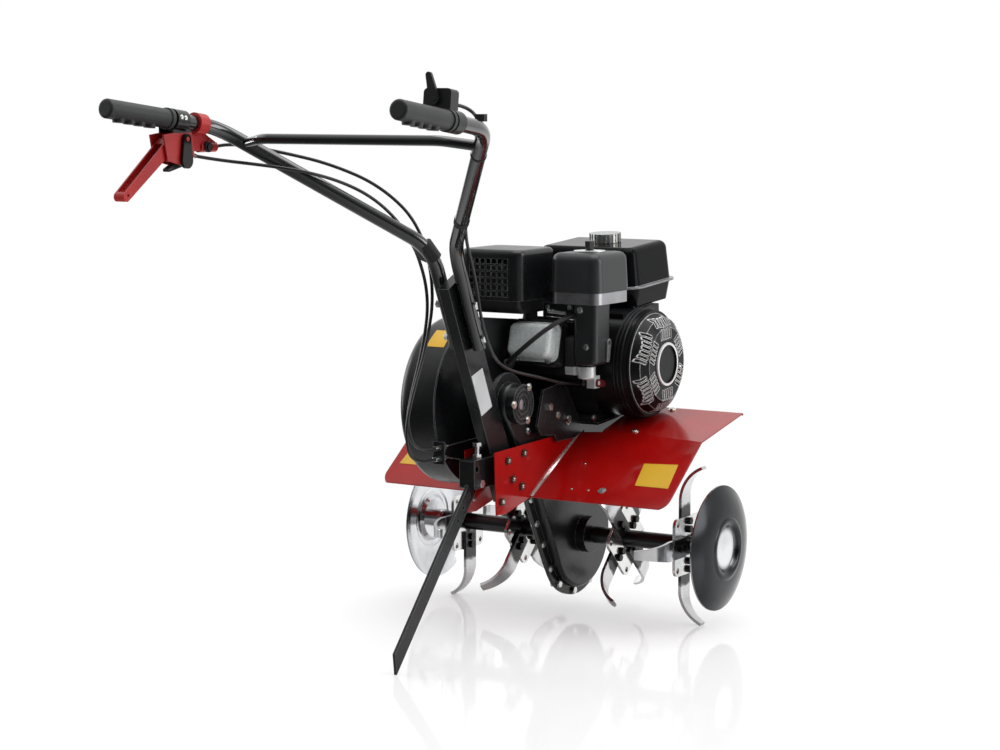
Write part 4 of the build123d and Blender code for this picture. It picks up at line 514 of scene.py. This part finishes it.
def planted(name, places, inputs, draw_one):
    """One mesh of like things that Geometry Nodes set on places, each along the direction kept with it.
    inputs holds the tree's named inputs, each a kind and a value; draw_one makes one thing from them."""
    tree = bpy.data.node_groups.new(name, "GeometryNodeTree")
    tree.interface.new_socket("Geometry", in_out="OUTPUT", socket_type="NodeSocketGeometry")
    tree.interface.new_socket("Geometry", in_out="INPUT", socket_type="NodeSocketGeometry")
    values = {}
    for label, (kind, value) in inputs.items():
        socket = tree.interface.new_socket(label, in_out="INPUT", socket_type="NodeSocket" + kind)
        values[socket.identifier] = value
    given = {socket.name: Field(tree, socket) for socket in tree.nodes.new("NodeGroupInput").outputs}
    one = draw_one(given)
    aim = one.node("GeometryNodeInputNamedAttribute", {"data_type": "FLOAT_VECTOR"}, {"Name": "aim"},
                   out="Attribute")
    turn = aim.node("FunctionNodeAlignRotationToVector", {"axis": "Z"}, {"Vector": aim})
    many = one.node("GeometryNodeInstanceOnPoints", {},
                    {"Points": given["Geometry"], "Instance": one, "Rotation": turn})
    real = many.node("GeometryNodeRealizeInstances", {}, {0: many})
    done = real.node("GeometryNodeSetMaterial", {}, {0: real, "Material": given["Finish"]})
    feed(tree.nodes.new("NodeGroupOutput"), {0: done})
    mesh = bpy.data.meshes.new(name + "_places")
    mesh.from_pydata([place for place, _ in places], [], [])
    aims = mesh.attributes.new("aim", "FLOAT_VECTOR", "POINT")
    for item, (_, way) in zip(aims.data, places):
        item.vector = way
    holder = placed(name + "_places", mesh)
    modifier = holder.modifiers.new("planted", "NODES")
    modifier.node_group = tree
    for identifier, value in values.items():
        modifier[identifier] = value
    drawn = holder.evaluated_get(bpy.context.evaluated_depsgraph_get())
    made = placed(name, bpy.data.meshes.new_from_object(drawn))
    bpy.data.objects.remove(holder)
    return made


def one_screw(given):
    """A head with so many sides on a round washer."""
    radius = given["Radius"]
    height = given["Height"]
    head = radius.node("GeometryNodeMeshCylinder", {},
                       {"Vertices": given["Sides"], "Radius": radius, "Depth": height})
    washer = radius.node("GeometryNodeMeshCylinder", {}, {
        "Vertices": WASHER_SIDES, "Radius": radius * WASHER_WIDE, "Depth": height * WASHER_THICK})
    return head.node("GeometryNodeJoinGeometry", {}, {0: [head, washer]})


def screws(name, places, head, material):
    """Like heads on washers, at places in metres."""
    inputs = {"Radius": ("Float", head.radius), "Height": ("Float", head.height),
              "Sides": ("Int", head.sides), "Finish": ("Material", material)}
    return planted(name, places, inputs, one_screw)


def from_shape(name, shape, material):
    """A finished bmesh turned into a piece."""
    mesh = bpy.data.meshes.new(name)
    shape.to_mesh(mesh)
    shape.free()
    return piece(name, mesh, material)


def rod(name, start, end, radius, material, lengths=1):
    """A round bar between two points in millimetres, in so many lengths."""
    start, end = spot(*start), spot(*end)
    turn = (end - start).to_track_quat("Z", "Y").to_matrix().to_4x4()
    shape = bmesh.new()
    for step in range(lengths):
        place = Matrix.Translation(start.lerp(end, (step + 0.5) / lengths)) @ turn
        bmesh.ops.create_cone(shape, cap_ends=True, segments=ROUND_SIDES, radius1=radius, radius2=radius,
                              depth=(end - start).length / lengths, matrix=place)
    bmesh.ops.remove_doubles(shape, verts=shape.verts, dist=1e-6)
    drawn = from_shape(name, shape, material)
    drawn.data.shade_smooth()
    return drawn


def painted_fold_highlight(place):
    """Patches of painted highlight along the fold."""
    return place.noise(FOLD_HIGHLIGHT_WAVES).ramp(0.3, 0.42)


red_paint = paint("red_gloss_enamel", RED, RED_FINISH.roughness, coat=0.45, gloss=0.16, reach=0.003)
dress(red_paint, "fender_left", "fender_right")
screw_places = []
rivet_places = []
for side, node in ((1, "fender_right"), (-1, "fender_left")):
    laid_on(node + "_plate", node, [(side * x, y, z) for x, y, z in FENDER_PLATE], yellow_foil)
    screw_places += [(spot(side * x, y, z), aim) for (x, y, z), aim in PANEL_SCREWS]
    rivet_places += [(spot(side * x, y, z), aim) for (x, y, z), aim in PANEL_RIVETS]
stud_places = [(spot(side * STUD_OUT, y, z), (side, 0, 0)) for y, z in STUD_SPOTS for side in (1, -1)]
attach(screws("fender_studs", stud_places, STUD_END, zinc), "chassis")
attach(screws("fender_screws", screw_places, PANEL_SCREW_HEAD, zinc), "chassis")
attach(screws("fender_rivets", rivet_places, RIVET_HEAD, zinc), "chassis")
# The fold bead's pale pink patches are a painted highlight.
fold_highlight_finish = zoned("red_fold_painted_highlight", painted_fold_highlight, RED_FINISH, FOLD_HIGHLIGHT_PINK)
for side, name in ((1, "fender_fold_right"), (-1, "fender_fold_left")):
    top, foot = (side * FOLD_OUT, *FOLD_TOP), (side * FOLD_OUT, *FOLD_FOOT)
    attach(rod(name, top, foot, FOLD_R, fold_highlight_finish), "chassis")


# Engine block and cylinder head
# An upright crankcase with a finned cylinder that lies back, of black cast aluminium with a sandy skin.
# The rocker cover is bare cast aluminium. Zinc screws hold it, the engine's mount and the case's flange.
CAST_BLACK = (0.0085, 0.0088, 0.0092)
PALE_CAST = Finish((0.55, 0.59, 0.585), 0.5, 0.15)
PALER_CAST = Finish((0.68, 0.72, 0.715), 0.42, 0.15)
SAND_WAVES = 300
CAST_GRAIN = 700
MOUNT_SCREWS = ((38.6, -242, 473), (41.1, -137, 408), (70.2, -47.7, 396), (41.1, -100, 392),
                (22.2, -217.6, 385.5), (38.7, -296, 445), (38.7, -247.6, 411))
COVER_SCREWS = ((34, -163, 515.5), (-36, -163, 515.5))
COVER_FACE = (0, -0.97, 0.26)
FLANGE_HALF = 4.2
FLANGE_SCREWS = ((-153.5, 196), (-128.5, 151.5), (-100, 99.5))
MOUNT_SCREW_HEAD = Head(0.005, 0.006, 6)


def sandy(place):
    """The grain of the sand mould."""
    return place.noise(SAND_WAVES, 2).ramp(0.3, 0.7)


cast_black = paint("black_cast_aluminium", CAST_BLACK, roughness=0.5, peel=0.0001, gloss=0.35)
cast = zoned("cast_aluminium", sandy, PALE_CAST, PALER_CAST, CAST_GRAIN, depth=0.00008, reach=0.0015)
dress(cast_black, "engine_block")
dress(cast, "rocker_cover")
case_screws = [(spot(*place), (1, 0, 0)) for place in MOUNT_SCREWS]
case_screws += [(spot(*place), COVER_FACE) for place in COVER_SCREWS]
for y, z in FLANGE_SCREWS:
    case_screws += [(spot(side * FLANGE_HALF, y, z), (side, 0, 0)) for side in (1, -1)]
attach(screws("mount_screws", case_screws, MOUNT_SCREW_HEAD, zinc), "chassis")


# Fan housing and recoil starter
# A pressed steel housing round the flywheel, stiffened by three rings, and a moulded cover slotted for
# the cooling air. The slot edges carry a painted highlight, and a bright ring stands in the middle of the
# cover.
CRANK_BACK = 35
CRANK_UP = 498
CRANK_LINE = ((AXLE_BACK + CRANK_BACK) / 1000, CRANK_UP / 1000)
COVER_FACE_X = (0.1815, 0.184)
RING_INSIDE = (0.0372, 0.0376)
RING_OUTSIDE = (0.0424, 0.042)
SLOTS_INSIDE = (0.044, 0.048)
SLOTS_OUTSIDE = (0.0985, 0.0965)
SLOT_GLINT_REACH = 0.003
SLOT_GLINT_BEND = (0.012, 0.06)
COVER_BLACK = Finish((0.005, 0.0052, 0.006), 0.33, 0.0)
COVER_BRIGHT_AND_GLINT = Finish((0.78, 0.78, 0.78), 0.3, 0.0)
RIB_X = (124, 132, 140)
RIB_RING_R = 0.1054
RIB_R = 0.0022
RIB_RING_SIDES = 96
RIB_SIDES = 12


def bright_ring_and_painted_glints(place):
    """The raised ring, and the slot edges with their painted glints."""
    radius = off_line(place, CRANK_LINE)
    ring = radius.ramp(*RING_INSIDE) * radius.ramp(*RING_OUTSIDE) * place.part("X").ramp(*COVER_FACE_X)
    # The edges within the slot band are lightened: a painted highlight.
    rim_glints = edges(place, SLOT_GLINT_REACH).ramp(*SLOT_GLINT_BEND)
    slot_glints = rim_glints * radius.ramp(*SLOTS_INSIDE) * radius.ramp(*SLOTS_OUTSIDE)
    return place.maths("MAXIMUM", ring, slot_glints)


def one_rib(given):
    """A round bead bent into a ring."""
    ring_radius = given["Ring Radius"]
    ring = ring_radius.node("GeometryNodeCurvePrimitiveCircle", {},
                            {"Resolution": RIB_RING_SIDES, "Radius": ring_radius})
    profile = ring_radius.node("GeometryNodeCurvePrimitiveCircle", {},
                               {"Resolution": RIB_SIDES, "Radius": given["Rib Radius"]})
    return ring.node("GeometryNodeCurveToMesh", {}, {0: ring, 1: profile})


housing_paint = paint("black_housing_enamel", BLACK, roughness=0.3, gloss=0.22)
dress(housing_paint, "fan_housing")
dress(steel, "flywheel_fan")
dress(zoned("recoil_moulding", bright_ring_and_painted_glints, COVER_BLACK, COVER_BRIGHT_AND_GLINT, gloss=0.16), "recoil_cover")
rib_inputs = {"Ring Radius": ("Float", RIB_RING_R), "Rib Radius": ("Float", RIB_R),
              "Finish": ("Material", housing_paint)}
rib_places = [(spot(x, CRANK_BACK, CRANK_UP), (1, 0, 0)) for x in RIB_X]
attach(planted("housing_ribs", rib_places, rib_inputs, one_rib), "chassis")


# Fuel tank and cap
# Two pressed halves seamed round the middle and sprayed gloss black, with a ribbed grey screw cap.
# A folded sheet bracket carries the tank on the engine block.
TANK_BRACKET = ((-85, 34, 566), (112, 38, 606))
TANK_TILT = math.radians(4)
SEAM_FOOT = (0.1432, 0.1438)
SEAM_TOP = (0.1482, 0.1476)
TANK_BLACK = Finish((0.004, 0.0042, 0.005), 0.12, 0.0)
SEAM_HIGHLIGHT = Finish((0.3, 0.3, 0.31), 0.2, 0.5)
CAP_GREY = (0.5, 0.5, 0.5)


def slab(name, low, high, material):
    """A plain box between two corners in millimetres."""
    low, high = spot(*low), spot(*high)
    shape = bmesh.new()
    size = Matrix.Diagonal((*(high - low), 1))
    bmesh.ops.create_cube(shape, size=1, matrix=Matrix.Translation((low + high) / 2) @ size)
    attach(from_shape(name, shape, material), "chassis")


def painted_seam_highlight(place):
    """The lip where the two halves are rolled together, with a painted highlight."""
    along = place.part("Y") - CRANK_LINE[0]
    up = place.part("Z") - CRANK_LINE[1]
    height = up * math.cos(TANK_TILT) - along * math.sin(TANK_TILT)
    return height.ramp(*SEAM_FOOT) * height.ramp(*SEAM_TOP)


slab("tank_bracket", *TANK_BRACKET, black_paint)
# The pale band on the seam's lip is a painted highlight.
dress(zoned("tank_enamel", painted_seam_highlight, TANK_BLACK, SEAM_HIGHLIGHT, gloss=0.05), "fuel_tank")
dress(plated("grey_cap", CAP_GREY, roughness=0.35), "fuel_cap")


# Air cleaner and carburettor
# A moulded cover and elbow with a bright aluminium tray between them, held by a knob on a pale washer.
# The carburettor behind the elbow is die-cast, with a plated bowl and steel levers.
SATIN = (0.0125, 0.0135, 0.015)
TRAY_FOOT = (0.6225, 0.6235)
ELBOW_SATIN = Finish(SATIN, 0.38, 0.0)
TRAY_BRIGHT = Finish((0.4, 0.4, 0.42), 0.3, 1.0)
WASHER_TOP = (0.7224, 0.7230)
PALE_WASHER = Finish((0.7, 0.7, 0.7), 0.35, 0.6)
KNOB_SATIN = Finish(SATIN, 0.4, 0.0)
BOWL_TOP = (0.5015, 0.5025)
PLATED_BOWL = Finish((0.66, 0.68, 0.68), 0.32, 0.5)
DARK_CASTING = Finish((0.03, 0.03, 0.032), 0.45, 0.4)
DARK_RED = (0.09, 0.003, 0.006)
ELBOW_SCREWS = ((103.3, -140.2, 542), (90, -140.2, 612))
ELBOW_SCREW_HEAD = Head(0.0045, 0.004, 6)
BACKWARD = (0, -1, 0)


def above(level):
    """A mask of what lies above a level, given by where it starts and where it is full."""
    return lambda place: place.part("Z").ramp(*level)


cover_finish = paint("air_cleaner_moulding", SATIN, roughness=0.34, gloss=0.45, reach=0.0015)
elbow_finish = zoned("elbow_and_tray", above(TRAY_FOOT), ELBOW_SATIN, TRAY_BRIGHT)
knob_finish = zoned("knob_and_washer", above(WASHER_TOP), PALE_WASHER, KNOB_SATIN)
carburettor_finish = zoned("carburettor_casting", above(BOWL_TOP), PLATED_BOWL, DARK_CASTING, CAST_GRAIN,
                           depth=0.00005)
dress(cover_finish, "air_cleaner_cover")
dress(elbow_finish, "air_cleaner_base")
dress(knob_finish, "air_cleaner_knob")
dress(carburettor_finish, "carburettor")
dress(steel, "throttle_arm", "choke_lever")
dress(paint("dark_red_lever", DARK_RED, roughness=0.35), "fuel_lever")
elbow_screws = [(spot(*place), BACKWARD) for place in ELBOW_SCREWS]
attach(screws("elbow_screws", elbow_screws, ELBOW_SCREW_HEAD, zinc), "chassis")


# Governor bracket, link and spring
# A black sheet bracket above the rocker cover, held by two screws. A zinc plated wire link runs along it
# to the carburettor, with a close spring stretched beside the link.
CONTROL_BRACKET = ((2, -128, 586), (68, -125, 622))
BRACKET_SCREWS = ((12, -128, 613), (60, -128, 615))
BRACKET_SCREW_HEAD = Head(0.0035, 0.003, 6)
LINK_ENDS = ((8, -132, 597), (76, -132, 592))
LINK_R = 0.0012
SPRING_ENDS = (Vector((16, -134, 606)), Vector((56, -134, 604)))
SPRING_TURNS = 11
SPRING_POINTS = 154
SPRING_COIL_R = 3.6
SPRING_WIRE_R = 0.0006

slab("control_bracket", *CONTROL_BRACKET, black_paint)
bracket_screws = [(spot(*place), BACKWARD) for place in BRACKET_SCREWS]
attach(screws("bracket_screws", bracket_screws, BRACKET_SCREW_HEAD, zinc), "chassis")
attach(rod("governor_link", *LINK_ENDS, LINK_R, zinc), "chassis")
spring_curve = bpy.data.curves.new("governor_spring", "CURVE")
spring_curve.dimensions = "3D"
spring_line = spring_curve.splines.new("POLY")
spring_line.points.add(SPRING_POINTS - 1)
for step, point in enumerate(spring_line.points):
    share = step / (SPRING_POINTS - 1)
    angle = math.tau * SPRING_TURNS * share
    around = Vector((0, math.cos(angle), math.sin(angle))) * SPRING_COIL_R
    point.co = (*spot(*(SPRING_ENDS[0].lerp(SPRING_ENDS[1], share) + around)), 1)
spring_curve.bevel_depth = SPRING_WIRE_R
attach(piece("governor_spring", spring_curve, zinc), "chassis")


# Muffler and guard
# A pressed steel silencer with a heat-proof black skin, bolted beside the cylinder head.
# A perforated guard of black sheet is screwed round it.
HEAT_BLACK = (0.009, 0.009, 0.0095)
heat_black = paint("heat_proof_black", HEAT_BLACK, roughness=0.55, gloss=0.35, peel=0.00006)
dress(heat_black, "muffler")
dress(black_paint, "muffler_guard")


# Handles and grips
# Bent steel tubes bolted through the column's top and braced by a thinner cross tube, all glossy black.
# The grips are ribbed rubber pushed over the tubes' ends.
GRIP_BLACK = (0.015, 0.016, 0.017)
tube_paint = paint("black_tube_enamel", BLACK, roughness=0.14, coat=0.6, gloss=0.6, peel=0.000008)
grip_rubber = paint("grip_rubber", GRIP_BLACK, roughness=0.5, gloss=0.4, peel=0.00006, reach=0.0015)
dress(tube_paint, "handle_tube_left", "handle_tube_right", "cross_tube")
dress(grip_rubber, "grip_left", "grip_right")


# Hand controls
# Red moulded clutch lever and bracket on the left handle, a shiny black reverse paddle with its clamp,
# the lock trigger, and the black throttle box with its lever on the right handle.
LEVER_RED = (0.36, 0.010, 0.011)
BRACKET_RED = Finish(LEVER_RED, 0.33, 0.0)
CLAMP_BLACK = Finish(BLACK, 0.2, 0.0)
PADDLE_BLACK = (0.004, 0.0042, 0.005)
MOULDED_BLACK = (0.009, 0.0095, 0.0105)
CLAMP_FOOT = (0.951, 0.954)
CLAMP_SCREWS = ((-260.6, -886, 979.5), (-260, -876, 978))
CLAMP_FACE = (0.97, 0, 0.24)
CLAMP_SCREW_HEAD = Head(0.0028, 0.004, 6)
KNOB_SPOT = (-275.5, -797, 927.5)
KNOB = Head(0.0065, 0.01, 24)

red_moulding = paint("red_moulding", LEVER_RED, roughness=0.33, gloss=0.4)
lever_moulding = paint("red_lever_moulding", LEVER_RED, roughness=0.33, gloss=0.4, reach=0.0001)
bracket_finish = zoned("red_bracket_black_clamp", above(CLAMP_FOOT), BRACKET_RED, CLAMP_BLACK)
gloss_black = paint("black_gloss_enamel", PADDLE_BLACK, roughness=0.12, gloss=0.34)
plastic = paint("black_moulding", MOULDED_BLACK, roughness=0.38, gloss=0.4)
dress(red_moulding, "reverse_bracket")
dress(lever_moulding, "clutch_lever")
dress(bracket_finish, "clutch_bracket")
dress(gloss_black, "reverse_lever")
dress(plastic, "lock_trigger", "throttle_box", "throttle_lever", "starter_grip")
clamp_screws = [(spot(*place), CLAMP_FACE) for place in CLAMP_SCREWS]
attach(screws("clamp_screws", clamp_screws, CLAMP_SCREW_HEAD, zinc), "chassis")
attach(screws("adjuster_knob", [(spot(*KNOB_SPOT), (1, 0, 0))], KNOB, rubber), "chassis")


# Control cables
# Steel wires in black plastic sheaths run from the hand controls to the adjusters and the governor.
# They are held at both ends, and the forward cable enters its lever through a zinc ferrule.
SHEATH_BLACK = (0.007, 0.007, 0.008)
CABLE_R = 0.003
REVERSE_ROUTE = ((-286, -765, 927), (-272, -742, 934), (-214.3, -674.2, 917.3), (-157.5, -602.3, 895.6),
                 (-98.2, -530.4, 855.4), (-52.4, -471.5, 784.3), (-45, -436, 664), (-45, -467, 560),
                 (-45, -510, 484), (-45, -537, 415), (-46, -512, 352), (-46, -438.5, 354))
FORWARD_ROUTE = ((-287, -838, 915), (-274, -800, 907), (-202.8, -719.1, 893.9), (-160.4, -678.2, 884.5),
                 (-128, -612.3, 865.7), (-95.2, -558.4, 835.7), (-69.8, -512.5, 790), (-57, -474, 735),
                 (-54, -441, 650), (-54, -463, 560), (-54, -500, 484), (-54, -518, 430), (-50, -496, 375),
                 (-46, -438.5, 374))
THROTTLE_ROUTE = ((257.6, -865.5, 1002.4), (262, -800, 1000), (236.1, -723.1, 951.4), (56.9, -507.5, 794.1),
                  (52, -452, 690), (50, -430, 610), (50, -388, 540), (50, -330, 512), (62, -240, 492),
                  (62, -150, 470), (61, -92, 465))
CABLES = {"reverse_cable": (REVERSE_ROUTE, 0.936), "forward_cable": (FORWARD_ROUTE, 0.922),
          "throttle_cable": (THROTTLE_ROUTE, 1.063)}
FERRULE_END = (-282.2, -824.1, 912.1)
FERRULE_R = 0.0042


def cord(name, route, radius, material):
    """One smooth NURBS line along a route, drawn as a round cable."""
    curve = bpy.data.curves.new(name, "CURVE")
    curve.dimensions = "3D"
    line = curve.splines.new("NURBS")
    line.points.add(len(route) - 1)
    for point, place in zip(line.points, route):
        point.co = (*spot(*place), 1)
    line.order_u = 3
    line.use_endpoint_u = True
    line.resolution_u = 12
    curve.bevel_depth = radius
    curve.bevel_resolution = 4
    curve.use_fill_caps = True
    drawn = piece(name, curve, material)
    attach(drawn, "chassis")
    return drawn


sheath = paint("black_cable_sheath", SHEATH_BLACK, roughness=0.3, gloss=0.45)
for name, (route, length) in CABLES.items():
    cable = cord(name + "_sheath", route, CABLE_R, sheath)
    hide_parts(name)
    spot(*route[0])
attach(rod("forward_ferrule", FORWARD_ROUTE[0], FERRULE_END, FERRULE_R, zinc), "chassis")


# Spark plug lead
# A thick rubber cable from the plug in the cylinder head to the ignition coil behind the air cleaner.
# It is pushed on at both ends.
SPARK_R = 0.0045
SPARK_ROUTE = ((-40, -196, 506), (-22, -204, 520), (10, -208, 545), (44, -200, 574), (70, -170, 597),
               (77, -130, 603))
lead = cord("spark_lead", SPARK_ROUTE, SPARK_R, rubber)
spot(*SPARK_ROUTE[0])


# Cable sleeve, ties, clip and plug boot
# Moulded black rubber: a sleeve and two ties hold the cables to the handle tubes, a clip sits on the right
# tube, and a boot is pushed over the plug at the lead's end.
TUBE_TIE_R = 13.8
CABLE_TIE_R = 4
SLEEVE = (((-24, -470, 725), (-33, -490, 752), 14.5), ((-48.5, -452, 725), (-50.5, -466, 752), 4.5),
          ((-56, -468, 725), (-60, -486, 752), 4.5))
RIGHT_BEND = Vector((24, -478.6, 743))
RIGHT_END = Vector((273, -778, 961.5))
CABLE_OFF_TUBE = Vector((-2, 13, 20.5))
TIES = {"cable_tie_low": (0.24, 0.275), "cable_tie_high": (0.8, 0.812)}
CABLE_CLIP = ((262, -791, 974), (279, -781, 986))
BOOT = (((-52, -182, 497), (-34, -198, 511), 8), ((-46, -172, 503), (-38, -180, 508), 8))
STRAP_STEPS = 20


def strap(name, rings, material):
    """A band pulled round several round pieces: the hull of their circles from one end to the other."""
    shape = bmesh.new()
    for start, end, radius in rings:
        start, end = spot(*start), spot(*end)
        turn = (end - start).to_track_quat("Z", "Y")
        for place in (start, end):
            for step in range(STRAP_STEPS):
                angle = math.tau * step / STRAP_STEPS
                around = Vector((math.cos(angle), math.sin(angle), 0)) * radius / 1000
                shape.verts.new(place + turn @ around)
    hull = bmesh.ops.convex_hull(shape, input=shape.verts)
    inside = [item for item in hull["geom_interior"] if isinstance(item, bmesh.types.BMVert)]
    bmesh.ops.delete(shape, geom=inside, context="VERTS")
    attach(from_shape(name, shape, material), "chassis")


strap("cable_sleeve", SLEEVE, rubber)
for name, (low_share, high_share) in TIES.items():
    start = RIGHT_BEND.lerp(RIGHT_END, low_share)
    end = RIGHT_BEND.lerp(RIGHT_END, high_share)
    round_tube = (start, end, TUBE_TIE_R)
    round_cable = (start + CABLE_OFF_TUBE, end + CABLE_OFF_TUBE, CABLE_TIE_R)
    strap(name, (round_tube, round_cable), rubber)
slab("cable_clip", *CABLE_CLIP, rubber)
strap("spark_boot", BOOT, rubber)


# Clutch and reverse wires and starter rope
# Bare steel wires leave the adjusters and end in the tips of the idler arm and of the reverse arm.
# The starter's rope is wound up behind its grip until it is pulled.
WIRE_R = 0.001
ROPE_R = 0.002
BEND_LENGTHS = 16
ROPE_FROM = Vector((134, CRANK_BACK, CRANK_UP))
PULL_WAY = Vector((0, 0.961262, 0.275637))
ROPE_REACH = (94, 112)
WIRES = {"forward_wire": ((-46, -402, 374), (-51.5, -155, 378), "idler_arm"),
         "reverse_wire": ((-46, -402, 354), (-51.5, -200.7, 314), "reverse_arm")}

rope_start, rope_end = [ROPE_FROM + PULL_WAY * reach for reach in ROPE_REACH]
rope = rod("starter_rope", rope_start, rope_end, ROPE_R, rubber, BEND_LENGTHS)
spot(*rope_start)
spot(*rope_end)
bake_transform(rope)
for name, (start, end, body) in WIRES.items():
    wire = rod(name, start, end, WIRE_R, steel, BEND_LENGTHS)
    spot(*start)
    spot(*end)
    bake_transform(wire)
